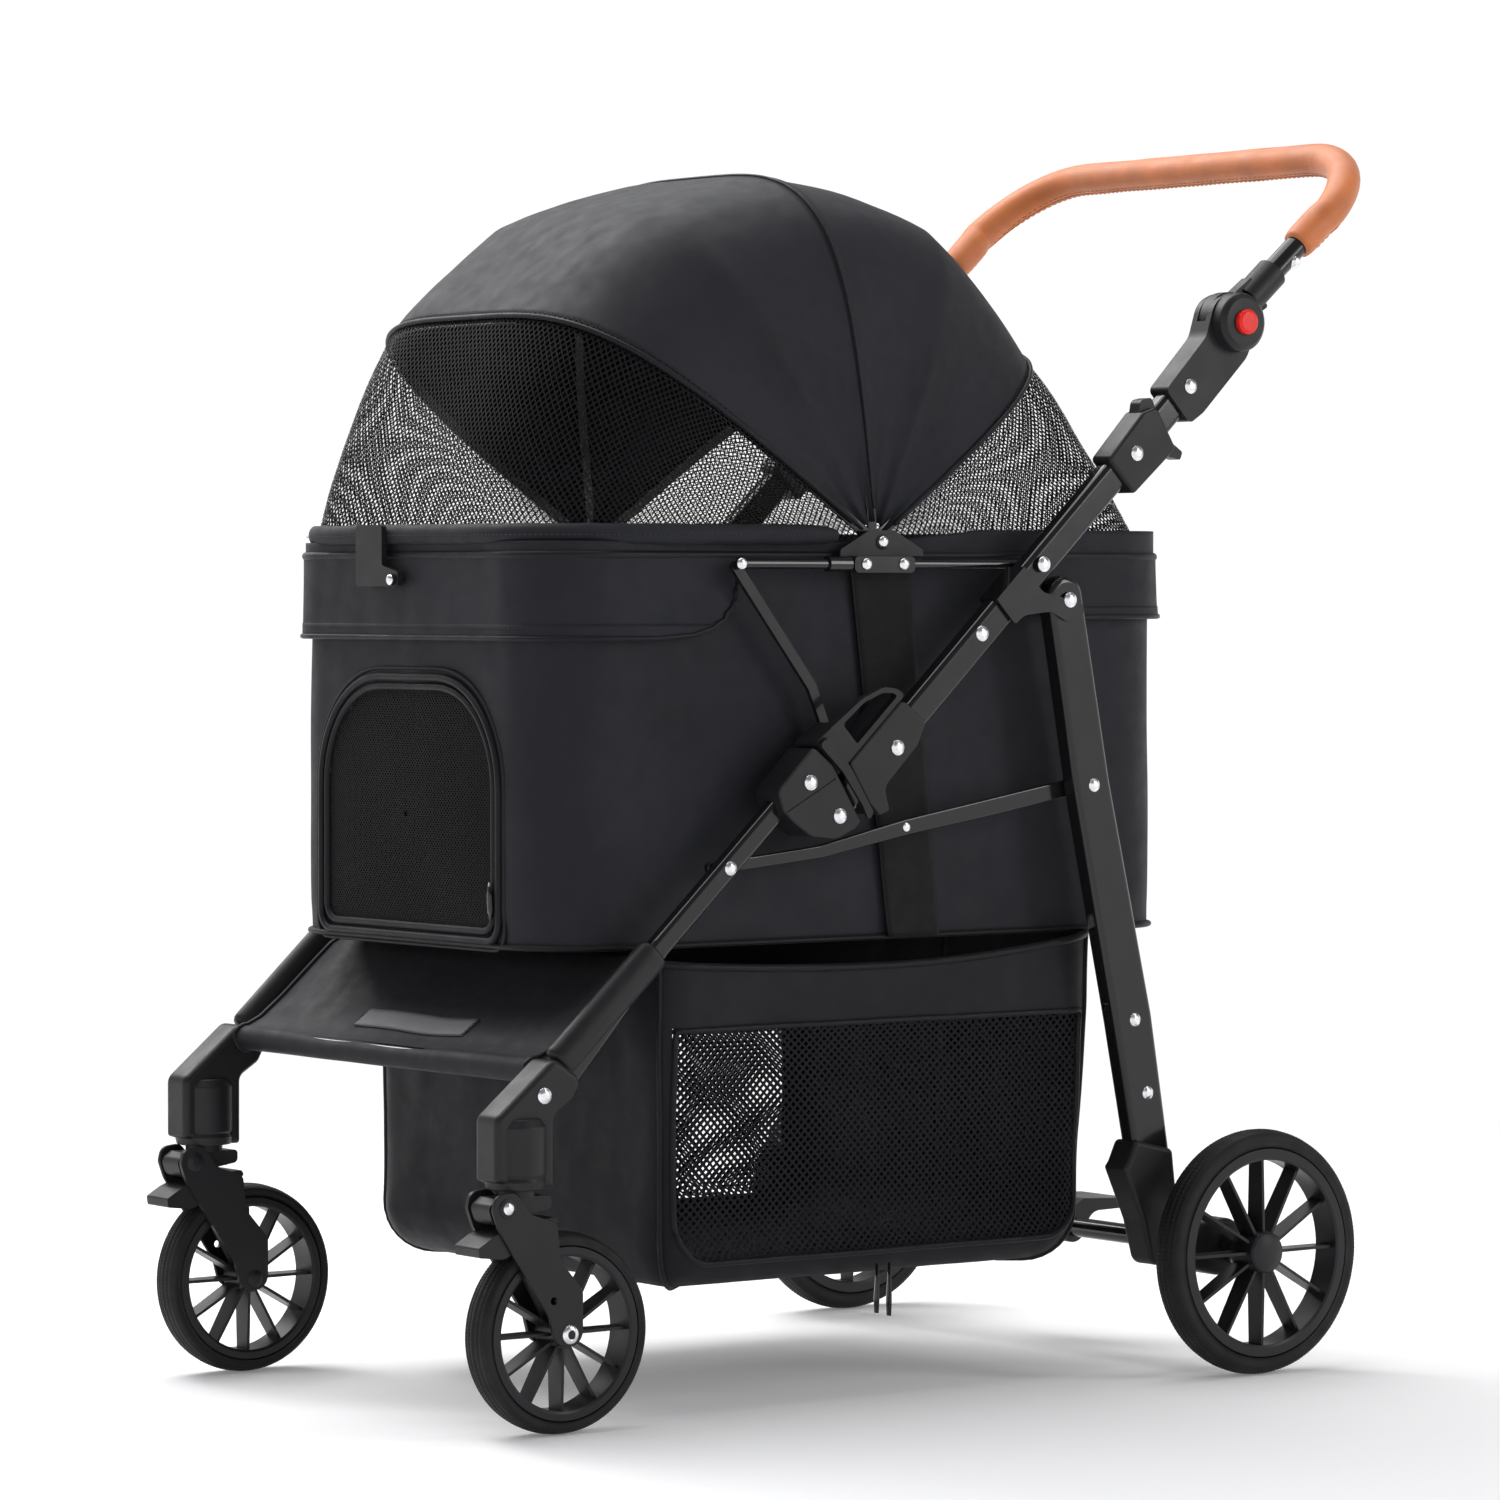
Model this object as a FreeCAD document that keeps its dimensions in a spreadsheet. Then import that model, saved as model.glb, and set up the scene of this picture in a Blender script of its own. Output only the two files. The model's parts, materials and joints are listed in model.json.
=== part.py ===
"""Folding pet stroller: frame, casters, rear wheels, lift-off carrier, canopy and basket.

Frame: +Z up, floor at Z = 0, the front faces -Y, X is across; origin below the middle.
"left" pieces are on +X, "right" pieces on -X. Lengths are in millimetres.
"""
import FreeCAD
import Part
import math
import os

Vec = FreeCAD.Vector
Rot = FreeCAD.Rotation
Placement = FreeCAD.Placement

doc = FreeCAD.newDocument("pet_stroller")
parts = {}

# ---------------------------------------------------------------- driving dimensions
SIZES = {
    # frame lanes across the stroller
    "lane": 220.7, "tubewide": 16, "tubedeep": 25, "legwide": 18, "crossdia": 16,
    "bracewide": 6, "raildia": 8, "railx": 205,
    # wheels
    "frontradius": 75, "fronttread": 9.5, "frontwide": 29, "fronty": -373,
    "rearradius": 97.25, "reartread": 13.5, "rearwide": 28, "reary": 265.7, "rearx": 268.8,
    "spokethick": 2.4, "hubradius": 16.6,
    # casters
    "swively": -408.7, "stemdia": 14, "pivoty": -428, "pivotz": 171,
    # folding joints, seen from the side
    "foldy": -122.9, "foldz": 450.3, "legpivoty": 104.7, "legpivotz": 613.4,
    "bracey": -218.9, "bracez": 412.7, "braceendy": 130.8, "braceendz": 468.5,
    # handle
    "huby": 273.5, "hubz": 833.6, "bardia": 19, "gripdia": 26,
    "bary": 431.2, "barz": 974, "barx": 229, "barbend": 84,
    # carrier and basket
    "carrierhalf": 185, "carrierfront": -356, "carrierback": 254, "carrierfloor": 352,
    "carriertop": 644, "carriercorner": 60, "clothwall": 3, "clipthick": 4.6,
    "baskethalf": 200, "basketfront": -258, "basketback": 146, "basketfloor": 92,
    "baskettop": 341, "basketcorner": 26,
    # canopy
    "canopyy": -56, "canopyz": 658, "bowthick": 2.4,
    # clearances
    "running": 0.05,
}
# shape exponent of a bow: how square its shoulders are
BOW_SHAPE = 0.52
RIM_SHAPE = 0.36
# radii of the pins, and of the bends in flat tubes
PIVOT_PIN = 4.0
SMALL_PIN = 3.0
TUBE_BEND = 30
# heads and domes of the rivets
BIG_RIVET = (6.2, 2.8)
SMALL_RIVET = (5.5, 2.6)
WHEEL_SPOKES = 12

sheet = doc.addObject("Spreadsheet::Sheet", "sizes")
for row, (alias, value) in enumerate(SIZES.items(), start=1):
    sheet.set(f"A{row}", str(value))
    sheet.setAlias(f"A{row}", alias)
doc.recompute()


def size(alias):
    """Value of a cell, in millimetres."""
    return float(sheet.get(alias))


LANE = size("lane")
FOLD = Vec(0, size("foldy"), size("foldz"))
LEG_PIVOT = Vec(0, size("legpivoty"), size("legpivotz"))
BRACE_FRONT = Vec(0, size("bracey"), size("bracez"))
BRACE_BACK = Vec(0, size("braceendy"), size("braceendz"))
HUB = Vec(0, size("huby"), size("hubz"))
KNUCKLE = Vec(0, size("pivoty"), size("pivotz"))
CANOPY = Vec(0, size("canopyy"), size("canopyz"))
FRONT_AXLE = Vec(0, size("fronty"), size("frontradius"))
REAR_AXLE = Vec(0, size("reary"), size("rearradius"))

# the upper tube runs up and back from the fold joint; ALONG and ABOVE are its two directions
ALONG = Vec(0, 0.729, 0.6845)
ABOVE = Vec(0, -0.6845, 0.729)


def on_tube(along, above):
    """(Y, Z) of a point given along the upper tube and above its centre line."""
    p = FOLD + ALONG * along + ABOVE * above
    return (p.y, p.z)


# ---------------------------------------------------------------- building helpers
def unique(stem):
    count = 1
    while doc.getObject(f"{stem}_{count}"):
        count += 1
    return f"{stem}_{count}"


def plane_of(body, role):
    return next(f for f in body.Origin.OriginFeatures if f.Role == role)


def new_body(label, base=Vec(0, 0, 0), rotation=None):
    body = doc.addObject("PartDesign::Body", label)
    body.Placement = Placement(base, rotation or Rot())
    return body


def new_sketch(body, role, offset=None):
    sketch = body.newObject("Sketcher::SketchObject", unique("outline"))
    sketch.AttachmentSupport = [(plane_of(body, role), "")]
    sketch.MapMode = "FlatFace"
    if offset:
        sketch.AttachmentOffset = offset
    return sketch


def flat(points):
    return [Vec(p[0], p[1], 0) for p in points]


def rounded_loop(points, radius):
    """Lines and arcs of a closed outline whose corners are rounded.

    A point may carry its own corner radius as a third number.
    """
    pts = flat(points)
    count = len(pts)
    arcs = []
    for i, corner in enumerate(pts):
        before = (pts[i - 1] - corner)
        after = (pts[(i + 1) % count] - corner)
        wanted = points[i][2] if len(points[i]) > 2 else radius
        turn = before.getAngle(after)
        reach = wanted / math.tan(turn / 2) if turn < math.pi - 0.01 else 0
        reach = min(reach, 0.49 * before.Length, 0.49 * after.Length)
        if wanted <= 0 or reach < 0.02:
            arcs.append((corner, None, corner))
            continue
        before.normalize()
        after.normalize()
        fit = reach * math.tan(turn / 2)
        middle = (before + after).normalize()
        centre = corner + middle * (fit / math.sin(turn / 2))
        arcs.append((corner + before * reach, centre - middle * fit, corner + after * reach))
    shapes = []
    for i, (start, mid, end) in enumerate(arcs):
        if mid:
            shapes.append(Part.Arc(start, mid, end))
        nxt = arcs[(i + 1) % count][0]
        if (nxt - end).Length > 1e-4:
            shapes.append(Part.LineSegment(end, nxt))
    return shapes


def pad(body, sketch, cell, symmetric=False):
    feature = body.newObject("PartDesign::Pad", unique("pad"))
    feature.Profile = sketch
    if isinstance(cell, str):
        feature.setExpression("Length", f"sizes.{cell}")
    else:
        feature.Length = cell
    if symmetric:
        feature.SideType = "Symmetric"
    sketch.Visibility = False
    body.Tip = feature
    return feature


def plate(label, points, radius, x_from, thick):
    """Flat piece with a side-view outline (Y, Z), standing from x_from across by thick."""
    body = new_body(label, Vec(x_from, 0, 0))
    sketch = new_sketch(body, "YZ_Plane")
    for shape in rounded_loop(points, radius):
        sketch.addGeometry(shape, False)
    pad(body, sketch, thick)
    return body


def ribbon(centres, half_widths):
    """Outline that follows a centre line, wider or narrower from point to point."""
    left, right = [], []
    for i, (y, z) in enumerate(centres):
        a = centres[max(i - 1, 0)]
        b = centres[min(i + 1, len(centres) - 1)]
        run = math.hypot(b[0] - a[0], b[1] - a[1])
        side = (-(b[1] - a[1]) / run, (b[0] - a[0]) / run)
        w = half_widths[i] if isinstance(half_widths, (list, tuple)) else half_widths
        left.append((y + side[0] * w, z + side[1] * w))
        right.append((y - side[0] * w, z - side[1] * w))
    return left + right[::-1]


def bar(label, centres, half_width, x_from, thick, end_radius):
    """Flat bar along a side-view centre line; its bends are gentle and its ends round."""
    corners = (0, len(centres) - 1, len(centres), 2 * len(centres) - 1)
    shaped = []
    for i, (y, z) in enumerate(ribbon(centres, half_width)):
        shaped.append((y, z, end_radius * 0.98 if i in corners else TUBE_BEND))
    return plate(label, shaped, 0, x_from, thick)


def soften(body, radius, pick):
    """Round the edges of a body that pick(edge) accepts."""
    doc.recompute()
    sharp = body.Tip
    names = [f"Edge{i}" for i, e in enumerate(sharp.Shape.Edges, start=1) if pick(e)]
    fillet = body.newObject("PartDesign::Fillet", unique("round"))
    fillet.Base = (sharp, names)
    fillet.Radius = radius
    body.Tip = fillet
    return body


def side_faces_edge(edge):
    """True for an edge that lies in one of the two flat sides of a plate."""
    box = edge.BoundBox
    return box.XLength < 1e-6


def rod(start, end, radius):
    """Round bar between two points; the radius is a number or an expression on the sizes."""
    item = doc.addObject("Part::Cylinder", unique("rod"))
    if isinstance(radius, str):
        item.setExpression("Radius", radius)
    else:
        item.Radius = radius
    run = end - start
    item.Height = run.Length
    item.Placement = Placement(start, Rot(Vec(0, 0, 1), run))
    return item


def rod_across(x_from, x_to, at, radius):
    return rod(Vec(x_from, at.y, at.z), Vec(x_to, at.y, at.z), radius)


def box(corner, spans):
    item = doc.addObject("Part::Box", unique("block"))
    item.Length, item.Width, item.Height = spans
    item.Placement.Base = Vec(*corner)
    return item


def fuse(items, label=None):
    joined = doc.addObject("Part::MultiFuse", label or unique("joined"))
    joined.Shapes = items
    joined.Refine = True
    return joined


def group(items):
    """Separate solids kept together in one node."""
    together = doc.addObject("Part::Compound", unique("group"))
    together.Links = items
    return together


def cut(base, tools):
    trimmed = doc.addObject("Part::Cut", unique("trimmed"))
    trimmed.Base = base
    trimmed.Tool = tools[0] if len(tools) == 1 else fuse(tools)
    trimmed.Refine = False
    return trimmed


def mirrored(source):
    """The same piece on the other side of the stroller."""
    other = doc.addObject("Part::Mirroring", unique("other_side"))
    other.Source = source
    other.Normal = Vec(1, 0, 0)
    other.Base = Vec(0, 0, 0)
    return other


def keep(name, item):
    item.Label = name
    parts[name] = item
    return item


def keep_pair(stem, left):
    keep(f"{stem}_left", left)
    keep(f"{stem}_right", mirrored(left))


def keep_both(name, left):
    keep(name, group([left, mirrored(left)]))


def turned(label, profile, centre_x, centre, radius=0.0):
    """Solid of revolution about the X axis; the profile is (across, radius) points."""
    body = new_body(label, Vec(centre_x, centre.y, centre.z))
    sketch = new_sketch(body, "XY_Plane")
    for shape in rounded_loop(profile, radius):
        sketch.addGeometry(shape, False)
    turn = body.newObject("PartDesign::Revolution", unique("turn"))
    turn.Profile = sketch
    turn.ReferenceAxis = (sketch, ["H_Axis"])
    turn.Angle = 360
    sketch.Visibility = False
    body.Tip = turn
    return body


def rivet(x_face, outward, at, head=6.5, dome=3.0):
    """Domed rivet head standing on a face that looks along +X or -X."""
    profile = [(0, 0), (outward * dome, 0), (outward * dome, head * 0.45, head * 0.6),
               (outward * dome * 0.35, head * 0.98, 1.0), (0, head)]
    return turned(unique("rivet"), profile, x_face, at)


def squircle(half_x, reach, shape, start_reach=0.0, count=41):
    """Arch from one side to the other; x across, y outward from the pivot line.

    start_reach leaves out the ends that lie closer to the pivot line than that.
    """
    begin = math.asin(min(1.0, (start_reach / reach) ** (1 / shape))) if start_reach else 0.0
    points = []
    for i in range(count):
        angle = begin + (math.pi - 2 * begin) * i / (count - 1)
        c, s = math.cos(angle), max(math.sin(angle), 0.0)
        points.append(Vec(math.copysign(abs(c) ** shape * half_x, c), s ** shape * reach, 0))
    return points


def arch_band(sketch, half_x, reach, shape, thick, start_reach=0.0, tail=0.0):
    """Closed outline of a thin arch: outer curve, inner curve and two ends."""
    ends = []
    for inset in (0.0, thick):
        pts = squircle(half_x - inset, reach - inset, shape, start_reach)
        if tail:
            pts = [Vec(pts[0].x, -tail, 0)] + pts + [Vec(pts[-1].x, -tail, 0)]
        curve = Part.BSplineCurve()
        curve.interpolate(pts)
        sketch.addGeometry(curve, False)
        ends.append((pts[0], pts[-1]))
    for i in (0, 1):
        sketch.addGeometry(Part.LineSegment(ends[0][i], ends[1][i]), False)


# ---------------------------------------------------------------- main tubes and legs
def front_legs():
    """Lower tubes from the caster housings up to the fold housings."""
    line = [(-371.0, 254.4), (-280.9, 355.3), (-170.4, 457.8), (-156.0, 471.0)]
    leg = bar(unique("lower_tube"), line, 8.5, LANE - 6.5, 13, 4)
    soften(leg, 4.5, side_faces_edge)
    keep_pair("front_leg", leg)
    return parts["front_leg_left"]


def upper_tubes():
    """Oval tubes from the fold joint up to the handle sockets."""
    half = size("tubedeep") / 2
    tube = bar(unique("oval_tube"), [on_tube(-half, 0), on_tube(150, 0), on_tube(475, 0)], half,
               LANE - size("tubewide") / 2, "tubewide", half)
    soften(tube, 5, side_faces_edge)
    hole = rod_across(200, 240, FOLD, PIVOT_PIN + size("running"))
    keep_pair("upper_tube", cut(tube, [hole]))
    return parts["upper_tube_left"]


def rear_legs():
    """Flat oval legs from the upper pivot down into the rear housings."""
    line = [(104.7 - 4.1, 613.4 + 18.5), (130.8, 468.5), (172.8, 282.7), (195.5, 160.0)]
    leg = bar(unique("oval_leg"), line, [17, 18, 19.5, 17.5], LANE - size("legwide") / 2,
              "legwide", 17)
    soften(leg, 5, side_faces_edge)
    hole = rod_across(200, 240, LEG_PIVOT, PIVOT_PIN + size("running"))
    keep_pair("rear_leg", cut(leg, [hole]))
    return parts["rear_leg_left"]


# ---------------------------------------------------------------- casters and their housings
def caster_housings(front_leg):
    """Elbow that takes the front leg, with the upright cup for the swivel stem."""
    elbow = plate(unique("elbow"), [(-383, 279, 9), (-358, 262, 9), (-366, 247, 6), (-383, 236, 8),
                                    (-383, 183, 2), (-412, 183, 2), (-435, 190, 2), (-435, 236, 10)],
                  4, LANE - 15, 30)
    soften(elbow, 5, side_faces_edge)
    swivel = Vec(LANE, size("swively"), 183)
    profile = [(0, 0), (21.5, 0, 1.5), (23, 6, 0.5), (21.8, 9, 0.5), (23, 11, 0.5), (23, 46, 3),
               (19, 52.5, 3), (0, 52.5)]
    cup = new_body(unique("cup"), swivel)
    sketch = new_sketch(cup, "XZ_Plane")
    for shape in rounded_loop(profile, 0):
        sketch.addGeometry(shape, False)
    turn = cup.newObject("PartDesign::Revolution", unique("turn"))
    turn.Profile = sketch
    turn.ReferenceAxis = (sketch, ["V_Axis"])
    turn.Angle = 360
    cup.Tip = turn
    bore = rod(swivel - Vec(0, 0, 2), swivel + Vec(0, 0, 38),
               "sizes.stemdia / 2 + sizes.running")
    cross = cross_rod()
    housing = cut(fuse([elbow, cup]), [bore, cross, front_leg])
    keep_both("caster_housings", housing)


def cross_rod():
    """Round bar between the two front elbows."""
    end = LANE - 8
    return rod(Vec(-end, -380, 267), Vec(end, -380, 267), "sizes.crossdia / 2")


def caster_knuckles():
    """Swivel head: stem, thrust disc and the lug that the fork pivots on."""
    swivel_y = size("swively")
    stem = rod(Vec(LANE, swivel_y, 181), Vec(LANE, swivel_y, 219), "sizes.stemdia / 2")
    disc = rod(Vec(LANE, swivel_y, 177.5), Vec(LANE, swivel_y, 182.6), 14.6)
    lug = plate(unique("lug"), [(-432, 178, 3), (-385, 178, 3), (-385, 168, 4), (-411, 164, 6),
                                (-419, 158, 8), (-436, 158, 8), (-441, 172, 6)], 3, LANE - 12, 24)
    hole = rod_across(LANE - 20, LANE + 20, KNUCKLE, PIVOT_PIN + size("running"))
    keep_pair("caster_knuckle", cut(fuse([stem, disc, lug]), [hole]))


def caster_forks():
    """Sprung fork: two arms, the arch over the tyre, pivot bolt and axle bolt."""
    arm_outline = [(-438, 181, 9), (-421, 183, 9), (-408, 166, 14), (-384, 158, 7), (-381, 130, 14),
                   (-361, 107, 10), (-361, 66, 12), (-385, 66, 12), (-391, 88, 12), (-436, 156, 12),
                   (-441, 170, 8)]
    outer = plate(unique("arm"), arm_outline, 4, LANE + 15.1, 3.6)
    soften(outer, 1.2, side_faces_edge)
    inner = plate(unique("arm"), arm_outline, 4, LANE - 18.7, 3.6)
    arch = [(-381, 157.6, 2), (-384, 162, 2), (-405, 160, 10), (-424, 156.5, 6), (-440, 150, 4),
            (-452, 143, 2), (-451, 136, 2), (-428, 133.5, 14), (-405, 150, 14)]
    top = plate(unique("arch"), arch, 2, LANE - 16, 32)
    bolt = rod_across(LANE - 15.5, LANE + 15.5, KNUCKLE, PIVOT_PIN)
    axle = rod_across(LANE - 15.5, LANE + 15.5, FRONT_AXLE, PIVOT_PIN)
    heads = []
    for at, head in ((KNUCKLE, 7.5), (FRONT_AXLE, 7.0)):
        heads += [rivet(LANE + side * 18.6, side, at, head, 2.2) for side in (1, -1)]
    spring_hole = rod_across(LANE + 10, LANE + 22, Vec(0, -387.4, 100.7), 3.0)
    keep_pair("caster_fork", cut(fuse([outer, inner, top, bolt, axle] + heads), [spring_hole]))


# ---------------------------------------------------------------- wheels
def wheel_rim(label, centre_x, centre, rim_out, rim_in, wide, hub, bore, stub):
    """Plastic rim with twelve thin, axially deep spokes and a plain hub."""
    half = wide / 2
    ring = turned(label, [(-half + 1, rim_in), (half - 1, rim_in), (half, rim_in + 2),
                          (half, rim_out - 1.5), (half - 3, rim_out), (-half + 3, rim_out),
                          (-half, rim_out - 1.5), (-half, rim_in + 2)], centre_x, centre, 0.4)
    spoke = new_sketch(ring, "XY_Plane")
    deep = half * 0.72
    for shape in rounded_loop([(-deep, hub - 3), (deep, hub - 3), (deep * 0.8, rim_in + 2),
                               (-deep * 0.8, rim_in + 2)], 0):
        spoke.addGeometry(shape, False)
    blade = pad(ring, spoke, "spokethick", symmetric=True)
    pattern = ring.newObject("PartDesign::PolarPattern", unique("spokes"))
    pattern.Originals = [blade]
    pattern.Axis = (spoke, ["H_Axis"])
    pattern.Angle = 360
    pattern.Occurrences = WHEEL_SPOKES
    ring.Tip = pattern
    boss = rod_across(centre_x - half * 0.9, centre_x + half * 0.9, centre, hub)
    items = [ring, boss]
    if stub:
        cap = turned(unique("cap"), [(0, 0), (4.5, 0), (4.5, hub * 0.55, 1.5), (3.0, hub * 0.66),
                                     (3.4, hub * 0.9, 1.5), (0, hub * 0.98)],
                     centre_x + half * 0.9 - 0.2, centre)
        items.append(cap)
        hole = rod_across(centre_x - half - 4, centre_x + half * 0.55, centre, bore)
    else:
        hole = rod_across(centre_x - half - 4, centre_x + half + 4, centre, bore)
    return cut(fuse(items), [hole])


def tyre(label, centre_x, centre, radius, tread, wide):
    half = wide / 2
    inner = radius - tread
    return turned(label, [(-half + 2.5, inner), (half - 2.5, inner), (half, inner + 2.5, 2),
                          (half, radius - 4, 5), (half - 5, radius, 8), (-half + 5, radius, 8),
                          (-half, radius - 4, 5), (-half, inner + 2.5, 2)], centre_x, centre)


def wheels():
    front_in = size("frontradius") - size("fronttread")
    rim = wheel_rim(unique("front_rim"), LANE, FRONT_AXLE, front_in, front_in - 8.5,
                    size("frontwide") - 2, 11, PIVOT_PIN + size("running"), False)
    keep_pair("front_rim", rim)
    keep_pair("front_tyre", tyre(unique("front_tyre"), LANE, FRONT_AXLE, size("frontradius"),
                                 size("fronttread"), size("frontwide")))
    rear_in = size("rearradius") - size("reartread")
    rim = wheel_rim(unique("rear_rim"), size("rearx"), REAR_AXLE, rear_in, rear_in - 10.4,
                    size("rearwide") - 2, size("hubradius"), 5.0 + size("running"), True)
    keep_pair("rear_rim", rim)
    keep_pair("rear_tyre", tyre(unique("rear_tyre"), size("rearx"), REAR_AXLE,
                                size("rearradius"), size("reartread"), size("rearwide")))


# ---------------------------------------------------------------- rear end
def rear_end(rear_leg):
    """Housings on the rear legs, the axle between them and the brake pedal on it."""
    tube = rod_across(-240, 240, REAR_AXLE, 8)
    journal = rod_across(-273, 273, REAR_AXLE, 5)
    collars = []
    for side in (1, -1):
        collars.append(rod_across(side * 240, side * 253.5, REAR_AXLE, 12))
    keep("rear_axle", fuse([tube, journal] + collars))
    outline = [(171, 188, 5), (209, 179, 5), (214, 138, 16), (236, 118, 14), (268, 121, 14),
               (290, 110, 12), (290, 84, 12), (258, 75, 14), (214, 86, 14), (188, 88, 10),
               (178, 124, 14), (159, 166, 3), (163, 171, 3)]
    block = plate(unique("rear_housing"), outline, 4, LANE - 14, 28)
    soften(block, 4, side_faces_edge)
    keep_both("rear_housings", cut(block, [tube, rear_leg]))
    pedal = plate(unique("pedal"), [(262, 86, 3), (262, 108, 3), (282, 119, 8), (338, 116, 3),
                                    (338, 109, 3), (290, 108, 14), (282, 90, 6)], 3, -34, 68)
    sleeve = rod_across(-40, 40, REAR_AXLE, 13)
    bore = rod_across(-45, 45, REAR_AXLE, 8 + size("running"))
    keep("brake_pedal", cut(fuse([pedal, sleeve]), [bore]))


# ---------------------------------------------------------------- fold joint
def fold_housings(front_leg):
    """Lower half of the fold joint: cheeks on both sides of the upper tube."""
    outline = [(-181, 470, 6), (-175.3, 454.2, 8), (-165.5, 445.4, 8), (-149.3, 434.9, 12),
               (-126, 432.3, 14), (-107.5, 440.5, 4), (-102.8, 445.8, 1), (-129.4, 489.4, 1),
               (-147.3, 503.2, 5)]
    block = plate(unique("fold_housing"), outline, 3, LANE - 15.3, 30.6)
    soften(block, 1.5, side_faces_edge)
    slot_at = LANE - 8.4
    slot = plate(unique("slot"), [on_tube(-13.5, 3.0), on_tube(-13.5, 13.6), on_tube(70, 13.6),
                                  on_tube(70, -40), on_tube(-33, -40), on_tube(-33, -30.5)], 0,
                 slot_at, 16.8)
    round_slot = rod_across(slot_at, slot_at + 16.8, FOLD, 14.5)
    pin = rod_across(LANE - 20, LANE + 20, FOLD, PIVOT_PIN)
    groove = plate(unique("groove"), [on_tube(-40, 38), on_tube(16, 23), on_tube(16, 24.4),
                                      on_tube(-40, 39.4)], 0, LANE + 14.4, 2)
    keep_pair("fold_housing", cut(block, [slot, round_slot, pin, front_leg, groove]))


def slide_locks():
    """Sliding latch over the fold joint: finger loop, block and the outer skin."""
    block = plate(unique("block"), [on_tube(21.2, 55.8) + (4,), on_tube(50, 51.5) + (4,),
                                    on_tube(50, 27) + (2,), on_tube(106, 27) + (1,),
                                    on_tube(106, 22.7) + (1,), on_tube(21.2, 22.7) + (1,),
                                    on_tube(23.0, 33)], 0.5, LANE - 13.5, 27)
    loop = plate(unique("loop"), [on_tube(40, 53.5), on_tube(55, 51.5) + (30,),
                                  on_tube(77, 49) + (30,), on_tube(98, 41.2) + (14,),
                                  on_tube(106, 32) + (8,), on_tube(109, 22.7) + (3,),
                                  on_tube(40, 22.7)], 0.5, LANE + 6.5, 7)
    window = plate(unique("window"), [on_tube(50.2, 47.5) + (3,), on_tube(50.2, 27.2) + (2,),
                                      on_tube(103, 27.2) + (3,), on_tube(101.5, 31.5) + (6,),
                                      on_tube(94.5, 38.5) + (12,), on_tube(77, 45.5) + (25,)], 2,
                   LANE - 20, 40)
    skin = plate(unique("skin"), [on_tube(21.6, 54) + (3,), on_tube(33, 52) + (3,),
                                  on_tube(31, 20) + (6,), on_tube(23.5, -19) + (3,),
                                  on_tube(15.5, -21) + (3,), on_tube(19.5, -8) + (8,),
                                  on_tube(23.5, 24) + (8,)], 2, LANE + 15.7, 2.6)
    bridge = plate(unique("bridge"), [on_tube(21.6, 53) + (1,), on_tube(33, 51) + (3,),
                                      on_tube(33, 25) + (3,), on_tube(23.2, 32)], 1,
                   LANE + 13.3, 2.6)
    keep_pair("slide_lock", fuse([block, cut(loop, [window]), skin, bridge]))


def upper_housings(upper_tube):
    """Upper half of the fold joint, clamped round the upper tube."""
    outline = [on_tube(34, 22.1) + (3,), on_tube(104.4, 22.1) + (6,), on_tube(108.4, -6.1) + (5,),
               on_tube(90.7, -13.5) + (8,), on_tube(46, -14.5) + (10,), on_tube(37, -31) + (3,),
               on_tube(27.5, -26.5) + (2,), on_tube(27.0, -13)]
    block = plate(unique("upper_housing"), outline, 2, LANE - 15, 30)
    soften(block, 1.5, side_faces_edge)
    keep_both("upper_housings", cut(block, [upper_tube]))


# ---------------------------------------------------------------- pieces on the upper tubes
def leg_brackets(upper_tube):
    """Plates that hang the rear-leg pivot below the upper tube."""
    rear = on_tube(262, 13.2)
    outline = [on_tube(225, 13.0) + (3,), rear + (3,), on_tube(262, -14) + (12,),
               (LEG_PIVOT.y + 20, LEG_PIVOT.z - 4, 17), (LEG_PIVOT.y + 4, LEG_PIVOT.z - 20, 17),
               (LEG_PIVOT.y - 19, LEG_PIVOT.z - 9, 17), on_tube(236, -14) + (18,),
               on_tube(225, -13.5) + (3,)]
    plates = []
    for x_from in (LANE - 11.3, LANE + 9.3):
        plates.append(plate(unique("bracket"), outline, 2, x_from, 2))
    wrap = plate(unique("wrap"), [on_tube(225, 13.2), rear, on_tube(262, 9), on_tube(225, 9)], 0,
                 LANE - 11.3, 22.6)
    pin = rod_across(LANE - 9.5, LANE + 9.5, LEG_PIVOT, PIVOT_PIN)
    keep_both("leg_brackets", cut(fuse(plates + [wrap, pin]), [upper_tube]))


def tube_collars(upper_tube):
    """Cup-holder collar with its flange loop, near the top of each upper tube."""
    body = plate(unique("collar"), [on_tube(381, 17) + (4,), on_tube(381, -21) + (4,),
                                    on_tube(438, -24) + (5,), on_tube(446, 14) + (5,),
                                    on_tube(432, 20) + (4,)], 3, LANE - 12, 24)
    soften(body, 3, side_faces_edge)
    flange = plate(unique("flange"), [on_tube(424, 14), on_tube(440, 26) + (5,),
                                      on_tube(450, 20) + (4,), on_tube(446, 8)], 1, LANE - 6, 12)
    spike = plate(unique("spike"), [on_tube(425, -18), on_tube(438, -36) + (2,),
                                    on_tube(444, -33) + (2,), on_tube(440, -16)], 1, LANE - 6, 12)
    keep_both("tube_collars", cut(fuse([body, flange, spike]), [upper_tube]))


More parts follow.
